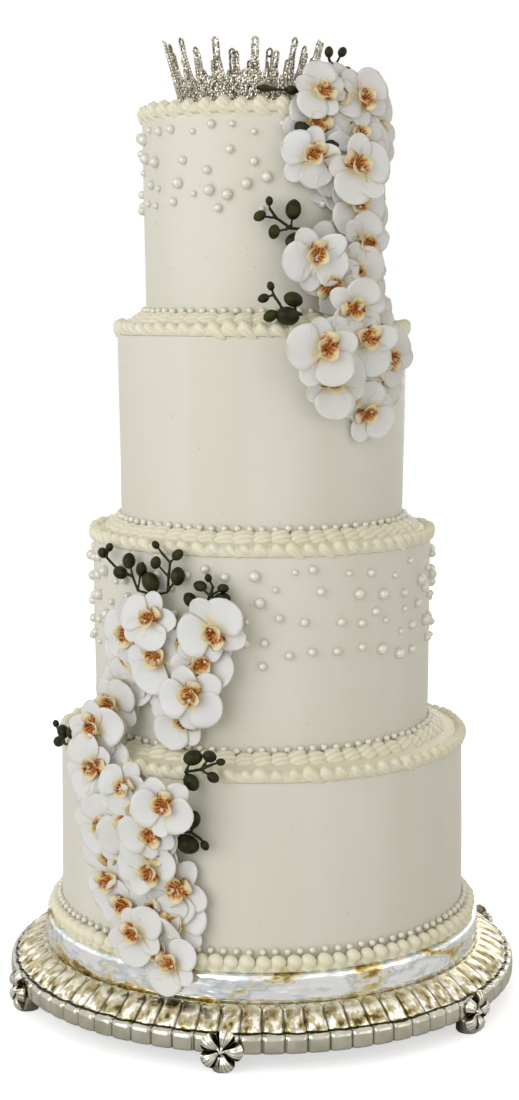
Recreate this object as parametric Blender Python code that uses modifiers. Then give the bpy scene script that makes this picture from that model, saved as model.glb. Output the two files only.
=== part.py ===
"""A four-tier wedding cake on a footed silver plateau, with piping, a tiara, orchids and bud sprigs.

Metres, +Z up. The plateau's feet stand on Z = 0 and the cake's axis is the Z axis. Its front faces -Y, and an
azimuth is an angle in degrees from there towards +X. Every piece is one closed solid.
"""

import math

import bmesh
import bpy
from mathutils import Euler, Matrix, Vector
from mathutils.bvhtree import BVHTree

MM = 0.001
GAP = 0.3 * MM  # clearance between touching pieces

# The plateau: an 18 inch silver base with a gadrooned edge, six cast flower feet and a hammered drum.
PLATEAU_RADIUS = 228.6 * MM
PLATEAU_UNDERSIDE = 15 * MM
PLATEAU_TOP = 46 * MM
GADROONS = 28
DRUM_TOP = 69 * MM
DRUM_FOOT_RADIUS = 197 * MM
DRUM_RADIUS = 195.5 * MM
FOOT_COUNT = 6
FIRST_FOOT_AZIMUTH = -8
FOOT_FLOWER_RADIUS = 17.5 * MM
FOOT_FLOWER_DEPTH = 9 * MM

# Tiers from the top one down: foot radius, top radius and top height. Each one stands on the next.
TIERS = (
    (102 * MM, 104.5 * MM, 776 * MM),
    (125 * MM, 127.5 * MM, 592 * MM),
    (149.5 * MM, 150.5 * MM, 413 * MM),
    (182 * MM, 180.5 * MM, 232 * MM),
)
TIER_SIDES = 40

# Piping: shells along each edge, and a second row at the foot of the tier above.
SHELL_HEIGHT = 14 * MM
EDGE_DROP = 10 * MM  # how far an edge row hangs down over the side
EDGE_RISE = 8 * MM
EDGE_STAND_OUT = 5 * MM
GROOVE_DEPTH = 3 * MM
TOP_SHELLS = 31
LEDGE_SHELLS = (19, 23, 27)
BASE_SHELLS = 38
BASE_ROW_WIDTH = 12 * MM

# The tiara stands off centre on the top tier, flares outwards and is lowest at the front.
# Long and short spikes alternate.
TIARA_PLACE = -16 * MM
TIARA_FOOT_RADIUS = 54 * MM
TIARA_TIP_RADIUS = 72.5 * MM
TIARA_TIP = 843 * MM
TIARA_FRONT_DROP = 8 * MM
TIARA_SHORTER = 11 * MM
TIARA_VALLEY = 808 * MM
TIARA_WALL = 2.4 * MM
TIARA_SPIKES = 24
TIARA_FIRST_SPIKE = 9.6

# An orchid's five lobes: direction in degrees from its own right, reach, and half width at the shoulders.
ORCHID_LOBES = (
    (18, 30 * MM, 15 * MM),
    (90, 27 * MM, 9 * MM),
    (162, 30 * MM, 15 * MM),
    (233, 27 * MM, 9 * MM),
    (307, 27 * MM, 9 * MM),
)
ORCHID_NOTCH = 12 * MM
ORCHID_DISH = 3.5 * MM
ORCHID_THICKNESS = 2.2 * MM
ORCHID_THROAT = 7 * MM
ORCHID_LIP_REACH = 11 * MM
ORCHID_LIP_DROP = 6 * MM
SETTLE_STEP = 1 * MM

# Orchids in the order in which they are set: azimuth and height in mm of the lip, then in degrees the turn to the
# right, the tilt upwards and the roll of the lip from straight down to the right, and last the size.
UPPER_ORCHIDS = (
    (55, 629, 12, 0, 90, 0.95),
    (44, 665, -14, -6, -30, 1.0),
    (48, 698, -22, -4, 150, 0.95),
    (25, 785, -8, 8, 165, 0.9),
    (55, 753, -22, 0, 35, 1.0),
    (46, 782, -20, 12, -60, 1.0),
    (20, 732, -6, -6, 40, 1.0),
    (21, 650, -4, -4, -100, 1.05),
    (35, 609, -12, -8, 5, 1.0),
    (38, 722, -14, 4, -45, 1.1),
    (50, 570, -20, 0, -45, 1.0),
    (42, 524, -16, -12, 25, 0.95),
    (37, 581, -16, 6, 45, 1.05),
    (25, 549, -8, -10, -20, 1.05),
    (19, 574, -4, 4, 60, 1.15),
)
LOWER_ORCHIDS = (
    (-22, 73, 0, 14, -30, 0.95),
    (-31, 96, 6, 6, 160, 0.95),
    (-42, 130, 12, 0, -25, 1.0),
    (-22, 136, 2, 0, 20, 1.1),
    (-28, 154, 6, -4, 100, 1.0),
    (-44, 180, 14, 0, 170, 1.0),
    (-27, 188, 6, -6, -60, 1.0),
    (-22, 211, 4, -4, 80, 1.0),
    (-37, 215, 12, 6, -150, 0.95),
    (-48, 228, 18, 0, 10, 1.05),
    (-48, 259, 18, -4, 130, 1.0),
    (-25, 272, 6, 6, -20, 1.05),
    (-20, 293, 4, -6, 75, 1.1),
    (-49, 290, 16, 0, -30, 1.0),
    (-32, 321, 8, 0, -40, 1.1),
    (-46, 340, 16, 4, 90, 1.0),
    (-34, 353, 8, 8, 40, 1.0),
    (-14, 349, 0, 0, 120, 1.1),
)

# Bud sprigs. Each has the radius that it lies at, its stem, and its buds. A stem point is (azimuth, height), and
# a bud is (azimuth, height, radius, length over width, number of the stem point that it grows from).
BUD_SPRIGS = (
    (
        101,
        ((16, 785.5), (24, 784.5), (30, 786), (36, 789), (36, 806), (33, 812)),
        (
            (33, 818, 3.5, 1.4, 5),
            (41, 819, 3.5, 1.3, 4),
            (43, 802, 5, 1.3, 3),
            (29, 799, 4.5, 1.3, 2),
            (14, 786, 3.8, 2.1, 1),
            (2, 787, 3.6, 2.6, 0),
        ),
    ),
    (
        112,
        ((36, 732), (26, 742), (21, 748)),
        ((30, 740, 7, 1.1, 0), (25, 749, 4, 1.0, 1), (17, 754, 5.6, 1.0, 2)),
    ),
    (
        113,
        ((19, 673), (12, 674), (6, 682), (3, 690)),
        (
            (15, 663, 8, 1.0, 0),
            (13, 689, 6.4, 1.1, 1),
            (5, 671, 4.6, 1.0, 1),
            (-1, 684, 4.2, 1.0, 2),
            (3, 696, 3, 1.0, 3),
        ),
    ),
    (
        133,
        ((14, 604), (12, 606), (7, 609), (4, 620)),
        (
            (9, 603, 7.6, 1.0, 0),
            (11, 616, 6.2, 1.0, 1),
            (3, 603, 4.8, 1.0, 2),
            (0.5, 617, 3.8, 1.0, 3),
            (3, 627, 3, 1.0, 3),
        ),
    ),
    (
        161,
        (
            (-31, 410),
            (-28, 402),
            (-28.5, 390),
            (-29, 377),
            (-34, 374),
            (-40, 376),
            (-42, 387),
            (-50, 393),
            (-55, 400),
        ),
        (
            (-33, 416, 3, 1.0, 0),
            (-25.5, 409, 4.2, 1.2, 1),
            (-33, 401, 4.4, 1.0, 2),
            (-25.5, 391, 6, 1.1, 3),
            (-35, 384, 7.2, 1.0, 4),
            (-38.5, 394, 4.4, 1.7, 5),
            (-43.5, 400, 5.4, 1.1, 6),
            (-47.5, 389, 5.4, 1.1, 6),
            (-57, 403, 4.2, 1.0, 8),
            (-53, 409, 3.2, 1.0, 8),
        ),
    ),
    (
        160,
        ((-18, 362), (-15.5, 376), (-14.5, 384)),
        (
            (-21.5, 372, 5, 1.5, 0),
            (-12, 373, 6, 1.1, 1),
            (-18.5, 384, 4.4, 1.1, 1),
            (-11.5, 383, 3.8, 1.0, 1),
            (-16, 391, 3, 1.0, 2),
        ),
    ),
    (
        192,
        ((-57, 240), (-62, 238), (-66, 244)),
        ((-58, 250, 3.8, 1.7, 0), (-63, 248, 5, 1.1, 1), (-66.5, 237, 4.6, 1.0, 1), (-69, 251, 2.8, 1.0, 2)),
    ),
    (
        192,
        ((-19, 236), (-15, 239), (-12, 244)),
        (
            (-17, 248, 6.4, 1.0, 0),
            (-17.5, 228, 6, 1.0, 0),
            (-12, 233, 4.2, 1.0, 1),
            (-12.8, 250, 4.8, 1.0, 1),
            (-10, 246, 3, 1.0, 2),
        ),
    ),
    (
        192,
        ((-21, 186), (-17.5, 186), (-15, 181)),
        ((-17, 196, 6, 1.3, 1), (-18.5, 176, 7.6, 1.1, 0), (-14, 176, 3.4, 1.0, 2)),
    ),
)
STEM_RADIUS = 1.6 * MM
SHOOT_RADIUS = 1.3 * MM
SHOOT_ROOT = 0.9 * MM  # how far a side shoot starts inside its stem
SHOOT_SIDES = 4

COLLECTION = "tiered_wedding_cake"


def material(name, color, roughness, metallic=0.0):
    """A plain Principled material."""
    made = bpy.data.materials.new(name)
    made.use_nodes = True
    shader = made.node_tree.nodes["Principled BSDF"]
    shader.inputs["Base Color"].default_value = (*color, 1)
    shader.inputs["Roughness"].default_value = roughness
    shader.inputs["Metallic"].default_value = metallic
    return made


def add_object(name, mesh, surface):
    """The mesh as an object of the cake's collection, with a material of its own."""
    made = bpy.data.objects.new(name, mesh)
    if not mesh.materials:
        mesh.materials.append(surface)
    made.active_material = surface
    bpy.data.collections[COLLECTION].objects.link(made)
    return made


def mesh_from(shape, name):
    """The bmesh as a mesh with its faces turned outwards."""
    bmesh.ops.recalc_face_normals(shape, faces=shape.faces[:])
    mesh = bpy.data.meshes.new(name)
    shape.to_mesh(mesh)
    shape.free()
    return mesh


def on_cake(azimuth, radius, height):
    """The point at this azimuth in degrees, this distance from the axis and this height."""
    angle = math.radians(azimuth)
    return Vector((radius * math.sin(angle), -radius * math.cos(angle), height))


def loft_round(name, outlines, closed_section):
    """A loft round the Z axis through (radius, height) outlines at equal angles. An open section gets flat caps."""
    shape = bmesh.new()
    rings = []
    for step, outline in enumerate(outlines):
        azimuth = 360 * step / len(outlines)
        rings.append([shape.verts.new(on_cake(azimuth, radius, height)) for radius, height in outline])
    last = len(outlines[0]) if closed_section else len(outlines[0]) - 1
    for here, there in zip(rings, rings[1:] + rings[:1]):
        for low in range(last):
            high = (low + 1) % len(here)
            shape.faces.new((here[low], there[low], there[high], here[high]))
    if not closed_section:
        shape.faces.new([ring[0] for ring in rings])
        shape.faces.new([ring[-1] for ring in rings])
    return mesh_from(shape, name)


def union(name, pieces):
    """One mesh made of overlapping meshes by Boolean unions."""
    helpers = [bpy.data.objects.new(name, piece) for piece in pieces]
    scene_objects = bpy.context.scene.collection.objects
    for helper in helpers:
        scene_objects.link(helper)
    for other in helpers[1:]:
        join = helpers[0].modifiers.new("join", "BOOLEAN")
        join.operation = "UNION"
        join.object = other
    graph = bpy.context.evaluated_depsgraph_get()
    joined = bpy.data.meshes.new_from_object(helpers[0].evaluated_get(graph))
    for helper in helpers:
        bpy.data.objects.remove(helper)
    return joined


def make_plateau(silver):
    """The gadrooned base, whose lobes bulge out between grooves, and the drum on it."""
    crest = (
        (PLATEAU_RADIUS - 6 * MM, PLATEAU_UNDERSIDE),
        (PLATEAU_RADIUS, PLATEAU_UNDERSIDE + 4 * MM),
        (PLATEAU_RADIUS - 1 * MM, PLATEAU_UNDERSIDE + 14 * MM),
        (PLATEAU_RADIUS - 14 * MM, PLATEAU_TOP - 5 * MM),
        (DRUM_FOOT_RADIUS + 2 * MM, PLATEAU_TOP),
    )
    groove = tuple((radius - 4 * MM, height) for radius, height in crest)
    base = loft_round("plateau_base", (crest, groove) * GADROONS, False)
    add_object("plateau_base", base, silver)
    drum_outline = ((DRUM_FOOT_RADIUS, PLATEAU_TOP + GAP), (DRUM_RADIUS, DRUM_TOP))
    drum = loft_round("plateau_drum", (drum_outline,) * TIER_SIDES, False)
    add_object("plateau_drum", drum, silver)


def make_foot_mesh():
    """A five-petalled flower that faces -Y and stands on a pad. Its back touches the plateau's edge."""
    flower = bmesh.new()
    depth = -FOOT_FLOWER_DEPTH
    middle = FOOT_FLOWER_RADIUS + 0.5 * MM
    rims = []
    for y in (0, 0.6 * depth):
        rim = []
        for corner in range(10):
            reach = FOOT_FLOWER_RADIUS * (1 if corner % 2 else 0.62)
            angle = math.radians(36 * corner + 90)
            rim.append(flower.verts.new((reach * math.cos(angle), y, middle + reach * math.sin(angle))))
        rims.append(rim)
    centres = [flower.verts.new((0, 0, middle)), flower.verts.new((0, depth, middle))]
    for low in range(10):
        high = (low + 1) % 10
        flower.faces.new((rims[0][low], rims[0][high], rims[1][high], rims[1][low]))
        for rim, centre in zip(rims, centres):
            flower.faces.new((rim[low], rim[high], centre))
    pad = bmesh.new()
    bmesh.ops.create_cube(pad, size=1)
    pad_height = PLATEAU_UNDERSIDE - GAP
    bmesh.ops.scale(pad, vec=(18 * MM, 22 * MM, pad_height), verts=pad.verts[:])
    bmesh.ops.translate(pad, vec=(0, 7 * MM, pad_height / 2), verts=pad.verts[:])
    return union("plateau_foot", [mesh_from(pad, "pad"), mesh_from(flower, "flower")])


def make_feet(silver):
    """The cast feet, equally spaced under the plateau's edge."""
    mesh = make_foot_mesh()
    for number in range(FOOT_COUNT):
        azimuth = FIRST_FOOT_AZIMUTH + 360 * number / FOOT_COUNT
        foot = add_object(f"plateau_foot_{number + 1}", mesh, silver)
        foot.location = on_cake(azimuth, PLATEAU_RADIUS + GAP, 0)
        foot.rotation_euler = Euler((0, 0, math.radians(azimuth)))


def tier_foot(number):
    """The height that a tier stands at, numbered from the top one, which is 0."""
    below = TIERS[number + 1][2] if number + 1 < len(TIERS) else DRUM_TOP
    return below + GAP


def make_tiers(buttercream):
    for number, (foot_radius, top_radius, top) in enumerate(TIERS):
        name = f"tier_{number + 1}"
        outline = ((foot_radius, tier_foot(number)), (top_radius, top))
        add_object(name, loft_round(name, (outline,) * TIER_SIDES, False), buttercream)


def clear_radius(radius, shells):
    """The corner radius at which a ring with two sections per shell just clears a cylinder of this radius."""
    return (radius + GAP) / math.cos(math.pi / (2 * shells))


def edge_section(radius, side, top, inner_points, depth):
    """The outline of piping that wraps a tier's top edge, pulled in by depth where a groove is."""
    return (
        *inner_points,
        (radius - EDGE_STAND_OUT, top + EDGE_RISE - depth),
        (radius + EDGE_STAND_OUT - depth, top + 1 * MM),
        (side + 0.2 * EDGE_STAND_OUT, top - EDGE_DROP + depth),
        (side, top + GAP),
    )


def make_piping(cream):
    """The border on the top tier, the rows on the three ledges, and the row on the drum."""
    radius, top = TIERS[0][1:]
    foot = (radius - 17 * MM, top + GAP)
    side = clear_radius(radius, TOP_SHELLS)
    outlines = [edge_section(radius, side, top, (foot,), depth) for depth in (0, GROOVE_DEPTH)]
    add_object("piping_top_border", loft_round("piping_top_border", outlines * TOP_SHELLS, True), cream)

    for number, shells in enumerate(LEDGE_SHELLS, 2):
        radius, top = TIERS[number - 1][1:]
        side = clear_radius(radius, shells)
        wall = clear_radius(TIERS[number - 2][0] + GAP, shells)
        outlines = []
        for depth in (0, GROOVE_DEPTH):
            inner = (
                (wall, top + GAP),
                (wall, top + SHELL_HEIGHT - depth),
                (wall + 11 * MM, top + 4 * MM),
            )
            outlines.append(edge_section(radius, side, top, inner, depth))
        name = f"piping_ledge_{number}"
        add_object(name, loft_round(name, outlines * shells, True), cream)

    wall = clear_radius(TIERS[-1][0], BASE_SHELLS)
    floor = DRUM_TOP + GAP
    outlines = [
        (
            (wall, floor),
            (wall + BASE_ROW_WIDTH - depth, floor),
            (wall, floor + SHELL_HEIGHT - depth),
        )
        for depth in (0, GROOVE_DEPTH)
    ]
    add_object("piping_base_row", loft_round("piping_base_row", outlines * BASE_SHELLS, True), cream)


def make_tiara(silver):
    """A flaring crown whose wall rises to spikes."""
    foot_height = TIERS[0][2] + GAP
    flare = (TIARA_TIP_RADIUS - TIARA_FOOT_RADIUS) / (TIARA_TIP - foot_height)

    def section(height):
        top_radius = TIARA_FOOT_RADIUS + flare * (height - foot_height)
        return (
            (TIARA_FOOT_RADIUS, foot_height),
            (top_radius, height),
            (top_radius - TIARA_WALL, height),
            (TIARA_FOOT_RADIUS - TIARA_WALL, foot_height),
        )

    step = 360 / TIARA_SPIKES
    outlines = []
    for spike in range(TIARA_SPIKES):
        frontness = 0.5 + 0.5 * math.cos(math.radians(TIARA_FIRST_SPIKE + step * spike))
        tip = TIARA_TIP - TIARA_FRONT_DROP * frontness - (TIARA_SHORTER if spike % 2 else 0)
        outlines += [section(tip), section(TIARA_VALLEY)]
    tiara = add_object("tiara", loft_round("tiara", outlines, True), silver)
    tiara.location.x = TIARA_PLACE
    tiara.rotation_euler.z = math.radians(TIARA_FIRST_SPIKE)


def make_stem_mesh(points):
    """A thin square tube along a line of points, with its caps welded on."""
    curve = bpy.data.curves.new("stem", "CURVE")
    curve.dimensions = "3D"
    curve.bevel_depth = STEM_RADIUS
    curve.bevel_resolution = 0
    curve.use_fill_caps = True
    line = curve.splines.new("POLY")
    line.points.add(len(points) - 1)
    for spot, place in zip(line.points, points):
        spot.co = (*place, 1)
    helper = bpy.data.objects.new("stem", curve)
    bpy.context.scene.collection.objects.link(helper)
    graph = bpy.context.evaluated_depsgraph_get()
    mesh = bpy.data.meshes.new_from_object(helper.evaluated_get(graph))
    bpy.data.objects.remove(helper)
    shape = bmesh.new()
    shape.from_mesh(mesh)
    bmesh.ops.remove_doubles(shape, verts=shape.verts[:], dist=0.01 * MM)
    return mesh_from(shape, "stem")


def make_shoot_mesh(root, centre, radius, stretch):
    """A rod from inside its stem that swells into a bud, round the line from root to centre."""
    outwards = centre - root
    length = outwards.length
    profile = (
        (SHOOT_RADIUS, -SHOOT_ROOT),
        (SHOOT_RADIUS, length - stretch * radius),
        (radius, length),
        (0.4 * radius, length + 0.9 * stretch * radius),
    )
    mesh = loft_round("shoot", (profile,) * SHOOT_SIDES, False)
    mesh.transform(Matrix.Translation(root) @ outwards.to_track_quat("Z", "Y").to_matrix().to_4x4())
    return mesh


def make_bud_sprig(name, radius, stem, buds, green):
    """A stem with side shoots, each ending in a bud, all bent round the cake at one radius."""
    stem_points = [on_cake(azimuth, radius * MM, height * MM) for azimuth, height in stem]
    pieces = [make_stem_mesh(stem_points)]
    for azimuth, height, size, stretch, start in buds:
        centre = on_cake(azimuth, radius * MM, height * MM)
        pieces.append(make_shoot_mesh(stem_points[start], centre, size * MM, stretch))
    return add_object(name, union(name, pieces), green)


def make_orchid_mesh():
    """A thin flower of five lobes in the XY plane, facing +Z, with a lip that stands forward below its middle."""
    flower = bmesh.new()
    lip = flower.verts.new((0, -ORCHID_LIP_DROP, ORCHID_LIP_REACH))
    throat, notches, shoulders = [], [], []
    for number, (direction, reach, half_width) in enumerate(ORCHID_LOBES):
        before = ORCHID_LOBES[number - 1][0]
        notch = math.radians(direction - ((direction - before) % 360) / 2)
        across = Vector((math.cos(notch), math.sin(notch), 0))
        throat.append(flower.verts.new(ORCHID_THROAT * across))
        notches.append(flower.verts.new(ORCHID_NOTCH * across + Vector((0, 0, 0.3 * ORCHID_DISH))))
        spread = math.atan2(half_width, reach)
        for angle in (math.radians(direction) - spread, math.radians(direction) + spread):
            shoulders.append(flower.verts.new((reach * math.cos(angle), reach * math.sin(angle), ORCHID_DISH)))
    for here in range(len(ORCHID_LOBES)):
        after = (here + 1) % len(ORCHID_LOBES)
        right, left = shoulders[2 * here : 2 * here + 2]
        flower.faces.new((throat[here], notches[here], right))
        flower.faces.new((throat[here], right, left))
        flower.faces.new((throat[here], left, throat[after]))
        flower.faces.new((throat[after], left, notches[after]))
        flower.faces.new((throat[here], throat[after], lip))
    helper = bpy.data.objects.new("flower", mesh_from(flower, "flower"))
    bpy.context.scene.collection.objects.link(helper)
    thicken = helper.modifiers.new("thickness", "SOLIDIFY")
    thicken.thickness = ORCHID_THICKNESS
    thicken.offset = 0
    graph = bpy.context.evaluated_depsgraph_get()
    mesh = bpy.data.meshes.new_from_object(helper.evaluated_get(graph))
    bpy.data.objects.remove(helper)
    return mesh


def surface_tree(mesh, matrix):
    """A search tree of the mesh's faces in this place, with the clearance as its tolerance."""
    places = [matrix @ corner.co for corner in mesh.vertices]
    faces = [tuple(face.vertices) for face in mesh.polygons]
    return BVHTree.FromPolygons(places, faces, epsilon=GAP)


def wall_radius(height):
    """The radius of the tier that this height is on."""
    for number, (foot_radius, top_radius, _) in enumerate(TIERS):
        if height > tier_foot(number):
            return max(foot_radius, top_radius)
    return TIERS[-1][0]


def set_orchids(first_number, places, mesh, petal_white, obstacles):
    """Push each orchid in towards the cake's axis until it would touch what is already there."""
    for number, (azimuth, height, turn, tilt, roll, size) in enumerate(places, first_number):
        facing = Euler((math.radians(90 - tilt), 0, math.radians(azimuth + turn))).to_matrix().to_4x4()
        facing = facing @ Matrix.Rotation(math.radians(roll), 4, "Z") @ Matrix.Scale(size, 4)
        stand_off = 4 * MM
        while True:
            place = on_cake(azimuth, wall_radius(height * MM) + stand_off, height * MM)
            matrix = Matrix.Translation(place) @ facing
            tree = surface_tree(mesh, matrix)
            if not any(tree.overlap(obstacle) for obstacle in obstacles):
                break
            stand_off += SETTLE_STEP
        orchid = add_object(f"orchid_{number:02d}", mesh, petal_white)
        orchid.matrix_world = matrix
        obstacles.append(tree)


def main():
    for old in list(bpy.data.objects):
        bpy.data.objects.remove(old)
    bpy.context.scene.collection.children.link(bpy.data.collections.new(COLLECTION))

    silver = material("polished silver", (0.78, 0.76, 0.70), 0.12, 1.0)
    buttercream = material("smoothed buttercream", (0.78, 0.75, 0.66), 0.55)
    cream = material("piped buttercream", (0.82, 0.77, 0.60), 0.5)
    rhinestones = material("rhinestone silver", (0.75, 0.74, 0.72), 0.2, 1.0)
    petal_white = material("orchid white", (0.80, 0.80, 0.78), 0.5)
    green = material("bud green", (0.02, 0.022, 0.004), 0.35)

    make_plateau(silver)
    make_feet(silver)
    make_tiers(buttercream)
    make_piping(cream)
    make_tiara(rhinestones)
    for number, (radius, stem, buds) in enumerate(BUD_SPRIGS, 1):
        make_bud_sprig(f"bud_sprig_{number:02d}", radius, stem, buds, green)
    bpy.context.view_layer.update()
    placed = bpy.data.collections[COLLECTION].objects
    obstacles = [surface_tree(piece.data, piece.matrix_world) for piece in placed]
    orchid = make_orchid_mesh()
    set_orchids(1, UPPER_ORCHIDS, orchid, petal_white, obstacles)
    set_orchids(1 + len(UPPER_ORCHIDS), LOWER_ORCHIDS, orchid, petal_white, obstacles)


main()
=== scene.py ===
"""Looks of a four-tier wedding cake on a silver plateau: piping, pearls, orchids, bud sprigs and a tiara.

Metres, +Z up. An azimuth is an angle from the cake's front, which faces -Y, towards +X.
"""

import math

import bpy
import numpy as np
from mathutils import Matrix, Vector
from mathutils.bvhtree import BVHTree


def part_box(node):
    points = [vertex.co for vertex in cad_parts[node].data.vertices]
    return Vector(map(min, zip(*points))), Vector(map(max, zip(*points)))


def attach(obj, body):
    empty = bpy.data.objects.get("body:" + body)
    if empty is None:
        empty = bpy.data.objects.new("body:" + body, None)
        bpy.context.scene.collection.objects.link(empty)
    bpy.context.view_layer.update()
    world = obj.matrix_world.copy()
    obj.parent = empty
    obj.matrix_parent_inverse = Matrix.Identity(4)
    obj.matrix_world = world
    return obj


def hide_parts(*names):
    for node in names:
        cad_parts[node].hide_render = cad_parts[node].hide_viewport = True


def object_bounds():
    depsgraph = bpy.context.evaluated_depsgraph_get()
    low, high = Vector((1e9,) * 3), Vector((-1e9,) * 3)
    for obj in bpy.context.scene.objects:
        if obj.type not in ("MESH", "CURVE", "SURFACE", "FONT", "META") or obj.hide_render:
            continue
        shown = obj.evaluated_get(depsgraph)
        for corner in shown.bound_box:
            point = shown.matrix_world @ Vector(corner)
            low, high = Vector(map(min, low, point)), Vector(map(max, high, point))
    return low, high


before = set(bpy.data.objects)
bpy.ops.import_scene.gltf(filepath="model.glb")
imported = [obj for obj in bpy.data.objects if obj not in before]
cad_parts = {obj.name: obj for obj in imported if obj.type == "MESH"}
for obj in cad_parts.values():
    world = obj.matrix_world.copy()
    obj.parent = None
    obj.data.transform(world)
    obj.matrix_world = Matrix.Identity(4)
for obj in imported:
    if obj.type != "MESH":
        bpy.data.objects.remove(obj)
CAD_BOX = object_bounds()

MM = 0.001
TAU = 2 * math.pi
DICE = np.random.default_rng(14)

PEARL_PITCH = 10.6 * MM
PEARL_RADIUS = 3.0 * MM
SCATTERED_RADII = (4.8 * MM, 3.7 * MM, 2.7 * MM)

TOP_SHELL_PITCH = 16 * MM
EDGE_SHELL_PITCH = 13.2 * MM
FOOT_SHELL_PITCH = 15.5 * MM
BASE_SHELL_PITCH = 12.8 * MM

GADROONS = 76
DRUM_FACETS = 150

CRYSTAL_PITCH = 2.7 * MM
TIARA_SPIKES = 24
LATTICE_HEIGHT = 11 * MM
LATTICE_LANES = 5

PETAL_REACH = 30 * MM
BEHIND_GAP = 17 * MM
CAMERA_DISTANCE = 1.6925
CAMERA_HEIGHT = 0.613
CAMERA_PITCH = 7.37
CAMERA_LENS = 62.4


# Shapes as arrays


def grid_faces(rows, columns, wrap_rows=False, wrap_columns=False):
    """Quads of a grid of points, facing the way of (step to the next row) x (step to the next column)."""
    index = np.arange(rows * columns).reshape(rows, columns)
    if wrap_rows:
        index = np.vstack([index, index[:1]])
    if wrap_columns:
        index = np.hstack([index, index[:, :1]])
    corners = [index[:-1, :-1], index[1:, :-1], index[1:, 1:], index[:-1, 1:]]
    return np.stack(corners, -1).reshape(-1, 4)


def form(vertices, quads, triangles=None, uv=None, tone=None, finish=0):
    """A shape as arrays: points, faces, a UV pair and a tone for each point, and a finish for each face."""
    count = len(vertices)
    triangles = np.zeros((0, 3), int) if triangles is None else triangles
    return {
        "vertices": np.asarray(vertices, float),
        "quads": quads,
        "triangles": triangles,
        "uv": np.zeros((count, 2)) if uv is None else uv,
        "tone": np.full(count, 0.5) if tone is None else tone,
        "finish": np.full(len(quads) + len(triangles), finish),
    }


def joined(forms):
    """Several shapes as one. Its quads come before its triangles, and its finishes are in that order."""
    counts = np.cumsum([0] + [len(one["vertices"]) for one in forms[:-1]])
    quad_finish = [one["finish"][: len(one["quads"])] for one in forms]
    triangle_finish = [one["finish"][len(one["quads"]) :] for one in forms]
    return {
        "vertices": np.concatenate([one["vertices"] for one in forms]),
        "quads": np.concatenate([one["quads"] + first for one, first in zip(forms, counts)]),
        "triangles": np.concatenate([one["triangles"] + first for one, first in zip(forms, counts)]),
        "uv": np.concatenate([one["uv"] for one in forms]),
        "tone": np.concatenate([one["tone"] for one in forms]),
        "finish": np.concatenate(quad_finish + triangle_finish),
    }


def copies(one, axes, origins, tones=None):
    """The shape once for each frame: the columns of axes are its X, Y and Z there, and may be scaled."""
    count, size = len(origins), len(one["vertices"])
    vertices = np.einsum("kij,vj->kvi", axes, one["vertices"]) + origins[:, None, :]
    offsets = (np.arange(count) * size)[:, None, None]
    tones = np.tile(one["tone"], count) if tones is None else np.repeat(tones, size)
    quads = len(one["quads"])
    quad_finish = np.tile(one["finish"][:quads], count)
    triangle_finish = np.tile(one["finish"][quads:], count)
    return {
        "vertices": vertices.reshape(-1, 3),
        "quads": (one["quads"][None] + offsets).reshape(-1, 4),
        "triangles": (one["triangles"][None] + offsets).reshape(-1, 3),
        "uv": np.tile(one["uv"], (count, 1)),
        "tone": tones,
        "finish": np.concatenate([quad_finish, triangle_finish]),
    }


def sheet_form(points, uv=None, tone=None, finish=0):
    """An open grid of points, rows by columns."""
    rows, columns = points.shape[:2]
    flat = None if tone is None else tone.reshape(-1)
    uv = None if uv is None else uv.reshape(-1, 2)
    return form(points.reshape(-1, 3), grid_faces(rows, columns), None, uv, flat, finish)


def poled_form(first, rings, last, tone=None, finish=0):
    """A closed shape: a point, rings of points, and a point."""
    rows, columns = rings.shape[:2]
    vertices = np.vstack([[first], rings.reshape(-1, 3), [last]])
    quads = grid_faces(rows, columns, wrap_columns=True) + 1
    here = np.arange(columns)
    after = (here + 1) % columns
    end = 1 + (rows - 1) * columns
    start_fan = np.stack([np.zeros(columns, int), 1 + here, 1 + after], 1)
    end_fan = np.stack([end + after, end + here, np.full(columns, len(vertices) - 1)], 1)
    around = np.concatenate([[0.5], np.tile(here / columns, rows), [0.5]])
    along = np.concatenate([[0], np.repeat((np.arange(rows) + 1) / (rows + 1), columns), [1]])
    tone = None if tone is None else np.concatenate([[tone[0].mean()], tone.reshape(-1), [tone[-1].mean()]])
    uv = np.stack([around, along], 1)
    return form(vertices, quads, np.vstack([start_fan, end_fan]), uv, tone, finish)


def turned_form(radii, heights, columns, finish=0):
    """A closed solid round Z. The profile runs down its outer side, and both of its ends are on the axis."""
    angle = TAU * np.arange(columns) / columns
    rings = np.stack(
        [
            radii[:, None] * np.sin(angle),
            -radii[:, None] * np.cos(angle),
            np.broadcast_to(heights[:, None], (len(heights), columns)),
        ],
        -1,
    )
    return poled_form((0, 0, heights[0]), rings, (0, 0, heights[-1]), None, finish)


def cake_frames(azimuths):
    """For each azimuth in radians, the matrix whose columns are along the row, up, and outwards."""
    zero, one = np.zeros_like(azimuths), np.ones_like(azimuths)
    along = np.stack([np.cos(azimuths), np.sin(azimuths), zero], -1)
    up = np.stack([zero, zero, one], -1)
    out = np.stack([np.sin(azimuths), -np.cos(azimuths), zero], -1)
    return np.stack([along, up, out], -1)


def cake_points(azimuths, radii, heights):
    """Points at these azimuths, distances from the axis and heights."""
    return np.stack(
        np.broadcast_arrays(radii * np.sin(azimuths), -radii * np.cos(azimuths), heights), -1
    )


def turn_about(axis, angles):
    """Rotation matrices about X, Y or Z by these angles in radians."""
    cosine, sine = np.cos(angles), np.sin(angles)
    first, second = [(1, 2), (2, 0), (0, 1)]["XYZ".index(axis)]
    turns = np.zeros((*np.shape(angles), 3, 3))
    turns[..., range(3), range(3)] = 1
    turns[..., first, first] = cosine
    turns[..., second, second] = cosine
    turns[..., first, second] = -sine
    turns[..., second, first] = sine
    return turns


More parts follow.
